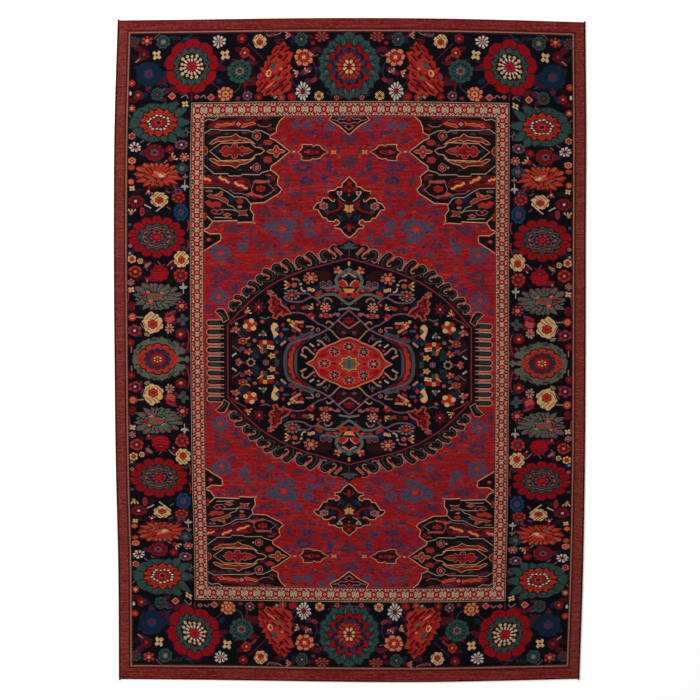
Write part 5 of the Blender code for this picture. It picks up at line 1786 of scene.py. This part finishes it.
def cordLine(part):
    # centre line of one cord, as a function of a share along it, with its length
    kind, where = part.split("_")[0], part.split("_")[2]
    radius = rug[kind + "Cord"] / 2
    if kind == "side":
        sign = -1 if where == "left" else 1
        corner = 0.0 if where == "left" else 1.0
        top = rug["length"] / 2 - smoothValue(edgeInset["far"], corner) + rug["cordTail"]
        bottom = -(rug["length"] / 2 - smoothValue(edgeInset["near"], corner) + rug["cordTail"])

        def place(share):
            x = sign * (rug["width"] / 2 - smoothValue(edgeInset[where], share) - radius)
            return Vector((x, top + (bottom - top) * share, radius))
        return place, top - bottom, radius
    sign = 1 if where == "far" else -1
    corner = 0.0 if where == "far" else 1.0
    inside = rug["sideCord"] + rug["cordGap"] / 2
    start = -(rug["width"] / 2 - smoothValue(edgeInset["left"], corner) - inside)
    stop = rug["width"] / 2 - smoothValue(edgeInset["right"], corner) - inside

    def place(share):
        y = sign * (rug["length"] / 2 - smoothValue(edgeInset[where], share) - radius)
        return Vector((start + (stop - start) * share, y, radius))
    return place, stop - start, radius


def cordObject(part, material):
    kind = part.split("_")[0]
    size = cords[kind]
    place, length, radius = cordLine(part)
    rings = 2 * round(length / size["pitch"])
    sides = size["sides"]
    cord = bmesh.new()
    bmesh.ops.create_grid(cord, x_segments=rings, y_segments=sides, size=0.5)
    cord.verts.ensure_lookup_table()
    for vert in cord.verts:
        share, around = vert.co.x + 0.5, vert.co.y + 0.5
        ring = round(share * rings)
        angle = 2 * math.pi * around
        here = place(share)
        ahead = place(min(share + 0.001, 1.0)) - place(max(share - 0.001, 0.0))
        ahead.normalize()
        across = Vector((-ahead.y, ahead.x, 0.0))
        dip = size["dip"] if ring % 2 else 1.0
        if ring in (0, rings):
            dip = size["tip"]
        slide = size["slant"] * size["pitch"] * math.sin(angle) * (0 < ring < rings)
        reach = radius * dip
        vert.co = here + across * math.cos(angle) * reach + Vector((0, 0,
                                                                    math.sin(angle) * reach)) + ahead * slide
    bmesh.ops.remove_doubles(cord, verts=cord.verts, dist=weaving["weld"])
    bmesh.ops.holes_fill(cord, edges=[edge for edge in cord.edges if edge.is_boundary], sides=0)
    bmesh.ops.recalc_face_normals(cord, faces=cord.faces)
    mesh = bpy.data.meshes.new(part + "_wraps")
    cord.to_mesh(mesh)
    cord.free()
    for face in mesh.polygons:
        face.use_smooth = True
    mesh.materials.append(material)
    piece = bpy.data.objects.new(part + "_wraps", mesh)
    bpy.context.scene.collection.objects.link(piece)
    return piece


# Wool, as a shader group shared by every material of the rug.

wool = {
    "abrash": 0.17,
    "row": 0.16,
    "tuft": 0.34,
    "knot": 0.22,
    "mottle": 0.62,
    "orange": 0.75,
    "lean": 0.6,
    "plum": 0.55,
    "worn": 0.5,
    "olive": 0.75,
    "dark": 0.75,
    "bandRows": 0.35,
    "fading": 0.14,
    "bump": 0.0012,
    "bumpStrength": 0.6,
    "knotSize": 0.0034,
    "knotShape": 0.85,
    "shine": 0.03,
}
# Noises on the rug's own coordinates. Columns: stretch across and along, detail, roughness.
woolNoises = {
    "lots": ((0.45, 8.5), 4.0, 0.65),
    "rows": ((7.0, 300.0), 1.0, 0.5),
    "tufts": ((240.0, 260.0), 3.0, 0.7),
    "fading": ((2.2, 3.0), 3.0, 0.6),
    "orange": ((9.0, 90.0), 3.0, 0.7),
    "plum": ((42.0, 120.0), 3.0, 0.75),
    "patches": ((24.0, 40.0), 4.0, 0.78),
    "bluer": ((7.0, 9.0), 2.0, 0.5),
    "grain": ((62.0, 84.0), 3.0, 0.75),
    "streaks": ((5.0, 130.0), 2.0, 0.7),
}
# Tones over the yarn: red knots show through the worn flowers, olive and dark ones through the plain band.
# Columns: where, noise, level it starts at, steepness, strength, yarn.
woolTones = (
    ("Worn", "grain", 0.50, 9.0, "worn", "fieldRed"),
    ("Band", "grain", 0.50, 8.0, "olive", "bandOlive"),
    ("Band", "plum", 0.52, 8.0, "dark", "bandDark"),
    ("Band", "streaks", 0.52, 7.0, "bandRows", "bandPale"),
)


def newGroup(name, inputs, outputs):
    group = bpy.data.node_groups.new(name, "ShaderNodeTree")
    for label, kind in inputs:
        group.interface.new_socket(label, in_out="INPUT", socket_type=kind)
    for label, kind in outputs:
        group.interface.new_socket(label, in_out="OUTPUT", socket_type=kind)
    return group


def node(tree, kind, **settings):
    made = tree.nodes.new(kind)
    for key, value in settings.items():
        setattr(made, key, value)
    return made


def wire(tree, source, target):
    tree.links.new(source, target)


def maths(tree, operation, first, second=None, third=None):
    made = node(tree, "ShaderNodeMath", operation=operation)
    for slot, value in enumerate((first, second, third)):
        if value is None:
            continue
        if isinstance(value, (int, float)):
            made.inputs[slot].default_value = value
        else:
            wire(tree, value, made.inputs[slot])
    return made.outputs[0]


def stretchedNoise(tree, place, stretch, detail, rough):
    # noise on the rug's own coordinates, stretched; 0 to 1 around 0.5
    mapping = node(tree, "ShaderNodeMapping")
    mapping.inputs["Scale"].default_value = (*stretch, 1.0)
    wire(tree, place, mapping.inputs["Vector"])
    grain = node(tree, "ShaderNodeTexNoise")
    grain.inputs["Scale"].default_value = 1.0
    grain.inputs["Detail"].default_value = detail
    grain.inputs["Roughness"].default_value = rough
    wire(tree, mapping.outputs[0], grain.inputs["Vector"])
    return grain.outputs["Fac"]


def blend(tree, share, first, second):
    mix = node(tree, "ShaderNodeMix", data_type="RGBA")
    for slot, value in ((0, share), (6, first), (7, second)):
        if isinstance(value, (int, float)):
            mix.inputs[slot].default_value = value
        elif isinstance(value, tuple):
            mix.inputs[slot].default_value = (*value, 1.0)
        else:
            wire(tree, value, mix.inputs[slot])
    return mix.outputs[2]


def swing(tree, noiseValue, amount):
    # a factor around 1 from noise around 0.5
    return maths(tree, "MULTIPLY_ADD", maths(tree, "SUBTRACT", noiseValue, 0.5), 2 * amount, 1.0)


def ramp(tree, mask, noiseValue, start, steepness, limit, lean=None):
    # how strongly a tone shows: noise above a level, held to a limit and to the mask
    raised = noiseValue
    if lean is not None:
        raised = maths(tree, "MULTIPLY_ADD", lean, wool["lean"],
                       maths(tree, "SUBTRACT", raised, wool["lean"] / 2))
    above = maths(tree, "MULTIPLY", maths(tree, "SUBTRACT", raised, start), steepness)
    held = maths(tree, "MINIMUM", maths(tree, "MAXIMUM", above, 0.0), limit)
    return maths(tree, "MULTIPLY", held, mask)


def knottedWoolGroup():
    group = newGroup(
        "knottedWool",
        (("Yarn", "NodeSocketColor"), ("Field", "NodeSocketFloat"), ("Worn", "NodeSocketFloat"),
         ("Band", "NodeSocketFloat")),
        (("Colour", "NodeSocketColor"), ("Roughness", "NodeSocketFloat"), ("Height", "NodeSocketFloat")),
    )
    start = node(group, "NodeGroupInput")
    end = node(group, "NodeGroupOutput")
    place = node(group, "ShaderNodeTexCoord").outputs["Object"]
    noises = {name: stretchedNoise(group, place, *row) for name, row in woolNoises.items()}
    snap = node(group, "ShaderNodeVectorMath", operation="SNAP")
    snap.inputs[1].default_value = (wool["knotSize"], wool["knotSize"] * wool["knotShape"], 1.0)
    wire(group, place, snap.inputs[0])
    knots = node(group, "ShaderNodeTexWhiteNoise", noise_dimensions="2D")
    wire(group, snap.outputs[0], knots.inputs["Vector"])
    # the ground of the field is dyed unevenly, with rows of orange, plum and faded mauve and blue
    field = start.outputs["Field"]
    orange = ramp(group, field, noises["orange"], 0.46, 3.4, wool["orange"], noises["lots"])
    plum = ramp(group, field, noises["plum"], 0.50, 7.0, wool["plum"])
    bluer = ramp(group, field, noises["bluer"], 0.42, 6.0, 1.0)
    mottle = ramp(group, field, noises["patches"], 0.52, 12.0, wool["mottle"])
    base = blend(group, orange, start.outputs["Yarn"], dyed["fieldOrange"])
    base = blend(group, plum, base, dyed["oxblood"])
    base = blend(group, mottle, base, blend(group, bluer, dyed["blotchMauve"], dyed["blotchBlue"]))
    for where, name, level, steepness, strength, yarn in woolTones:
        share = ramp(group, start.outputs[where], noises[name], level, steepness, wool[strength])
        base = blend(group, share, base, dyed[yarn])
    # abrash, rows, tufts and single knots make the yarn lighter or darker
    tufts, knotLuck = noises["tufts"], knots.outputs["Value"]
    level = swing(group, noises["lots"], wool["abrash"])
    for value, amount in ((noises["rows"], "row"), (tufts, "tuft"), (knotLuck, "knot"),
                          (noises["fading"], "fading")):
        level = maths(group, "MULTIPLY", level, swing(group, value, wool[amount]))
    scaled = node(group, "ShaderNodeVectorMath", operation="SCALE")
    wire(group, base, scaled.inputs[0])
    wire(group, level, scaled.inputs["Scale"])
    wire(group, scaled.outputs[0], end.inputs["Colour"])
    wire(group, maths(group, "MULTIPLY_ADD", tufts, -0.08, 0.98), end.inputs["Roughness"])
    height = maths(group, "MULTIPLY_ADD", knotLuck, 0.35, tufts)
    wire(group, maths(group, "ADD", height, maths(group, "MULTIPLY", noises["rows"], 0.5)),
         end.inputs["Height"])
    return group


def woolMaterial(name, group, plain=None, duller=0.0):
    # pile dyed by its yarn attribute and dulled towards stone, or one plain yarn
    material = bpy.data.materials.new(name)
    material.use_nodes = True
    tree = material.node_tree
    shader = tree.nodes["Principled BSDF"]
    shader.inputs["Specular IOR Level"].default_value = wool["shine"]
    surface = node(tree, "ShaderNodeGroup", node_tree=group)
    if plain is None:
        yarn = node(tree, "ShaderNodeVertexColor", layer_name="yarn")
        wire(tree, blend(tree, duller, yarn.outputs["Color"], dyed["stone"]), surface.inputs["Yarn"])
        dyeing = node(tree, "ShaderNodeVertexColor", layer_name="dyeing")
        masks = node(tree, "ShaderNodeSeparateColor")
        wire(tree, dyeing.outputs["Color"], masks.inputs[0])
        for channel, where in enumerate(("Field", "Worn", "Band")):
            wire(tree, masks.outputs[channel], surface.inputs[where])
    else:
        surface.inputs["Yarn"].default_value = (*dyed[plain], 1.0)
    bump = node(tree, "ShaderNodeBump")
    bump.inputs["Strength"].default_value = wool["bumpStrength"]
    bump.inputs["Distance"].default_value = wool["bump"]
    wire(tree, surface.outputs["Height"], bump.inputs["Height"])
    wire(tree, surface.outputs["Colour"], shader.inputs["Base Color"])
    wire(tree, surface.outputs["Roughness"], shader.inputs["Roughness"])
    wire(tree, bump.outputs["Normal"], shader.inputs["Normal"])
    return material


# Dressing the solids: the cloth, its back and the cords.

groundOf = {"band": "bandRed", "border": "navy", "guard": "ivory", "field": "fieldRed"}
# The four sides of the border. Columns: name, number of its ground, quarters.
borderSides = (
    ("border_left", 0, ((-1, 1), (-1, -1))), ("border_right", 0, ((1, 1), (1, -1))),
    ("border_far", 1, ((-1, 1), (1, 1))), ("border_near", 1, ((-1, -1), (1, -1))),
)


def weavePile(material):
    # the pieces of pile: band, guard, field and the four sides of the border
    pile = {}
    top, bottom = rug["thickness"], rug["backing"]
    for zone in ("band", "guard", "field"):
        flat, woven = weave([(groundOf[zone], zoneGround(zone))], chart[zone])
        pile["pile_" + zone] = pileObject("pile_" + zone, [(zone, flat, woven[0])], quarters, material, top,
                                          bottom)
    innerOut, cutUp = zoneBounds["border"]["inner"]
    outerOut, outerUp = zoneBounds["border"]["outer"]
    flat, woven = weave([
        (groundOf["border"], [(innerOut, 0), (outerOut, 0), (outerOut, cutUp), (innerOut, cutUp)]),
        (groundOf["border"], [(0, cutUp), (innerOut, cutUp), (outerOut, cutUp), (outerOut, outerUp),
                              (0, outerUp)]),
    ], chart["border"])
    for name, ground, wanted in borderSides:
        nets = [("border", flat, woven[ground])]
        pile["pile_" + name] = pileObject("pile_" + name, nets, wanted, material, top, bottom)
    return pile


def weaveBack(material):
    # the back shows the same pattern, in its larger shapes
    nets = []
    for zone in zoneBounds:
        larger = [shape for shape in chart[zone] if abs(area(shape[1])) > rug["backDetail"]]
        flat, woven = weave([(groundOf[zone], zoneGround(zone))], larger)
        nets.append((zone, flat, woven[0]))
    return pileObject("knotted_back", nets, quarters, material, rug["backing"], 0.0, False)


def dress(piece, part):
    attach(piece, "root")
    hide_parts(part)


def dressCloth(group):
    pile = weavePile(woolMaterial("pileWool", group))
    pile["knotted_back"] = weaveBack(woolMaterial("knottedBack", group, duller=0.2))
    for piece in pile.values():
        dress(piece, "pile_rug")
    return pile


def dressCords(group):
    yarnOf = {"side": woolMaterial("sideCordWool", group, "oxblood"),
              "end": woolMaterial("endCordWool", group, "maroon")}
    wraps = []
    for part in ("side_cord_left", "side_cord_right", "end_cord_far", "end_cord_near"):
        kind = part.split("_")[0]
        wraps.append(cordObject(part, yarnOf[kind]))
        dress(wraps[-1], part)
    return wraps


# The studio: a pale paper floor, a white sky, one large soft lamp and a camera straight above.

studio = {
    "floorSize": 12.0,
    "floorDrop": 0.0006,
    "floorColour": (0.93, 0.93, 0.93),
    "floorRoughness": 0.9,
    "worldStrength": 0.78,
    "lampPower": 230.0,
    "lampSize": 3.0,
    "lampPlace": (-2.6, 2.2, 4.2),
    "cameraHeight": 7.603,
    "lens": 85.0,
}


def layFloor():
    mesh = bpy.data.meshes.new("studio_floor")
    sheet = bmesh.new()
    bmesh.ops.create_grid(sheet, x_segments=1, y_segments=1, size=studio["floorSize"] / 2)
    bmesh.ops.translate(sheet, verts=sheet.verts, vec=(0, 0, -studio["floorDrop"]))
    sheet.to_mesh(mesh)
    sheet.free()
    paper = bpy.data.materials.new("studioPaper")
    paper.use_nodes = True
    shader = paper.node_tree.nodes["Principled BSDF"]
    shader.inputs["Base Color"].default_value = (*studio["floorColour"], 1.0)
    shader.inputs["Roughness"].default_value = studio["floorRoughness"]
    mesh.materials.append(paper)
    floor = bpy.data.objects.new("studio_floor", mesh)
    bpy.context.scene.collection.objects.link(floor)


def hangLights():
    world = bpy.data.worlds.new("studio")
    bpy.context.scene.world = world
    world.use_nodes = True
    sky = world.node_tree.nodes["Background"]
    sky.inputs["Color"].default_value = (1.0, 1.0, 1.0, 1.0)
    sky.inputs["Strength"].default_value = studio["worldStrength"]
    softbox = bpy.data.lights.new("softbox", "AREA")
    softbox.energy = studio["lampPower"]
    softbox.size = studio["lampSize"]
    lamp = bpy.data.objects.new("softbox", softbox)
    lamp.location = studio["lampPlace"]
    lamp.rotation_euler = (-Vector(studio["lampPlace"])).to_track_quat("-Z", "Y").to_euler()
    bpy.context.scene.collection.objects.link(lamp)


def setCamera():
    overhead = bpy.data.cameras.new("overhead")
    overhead.lens = studio["lens"]
    camera = bpy.data.objects.new("overhead", overhead)
    camera.location = (0.0, 0.0, studio["cameraHeight"] + rug["thickness"])
    bpy.context.scene.collection.objects.link(camera)
    bpy.context.scene.camera = camera
    bpy.context.scene.view_settings.view_transform = "Standard"


print("charting the pattern")
drawBand()
drawBorder()
drawGuard()
drawField()
print("weaving the cloth")
woolGroup = knottedWoolGroup()
cloth = dressCloth(woolGroup)
print("wrapping the cords")
cordWraps = dressCords(woolGroup)
print("setting the light")
layFloor()
hangLights()
setCamera()

print("done")
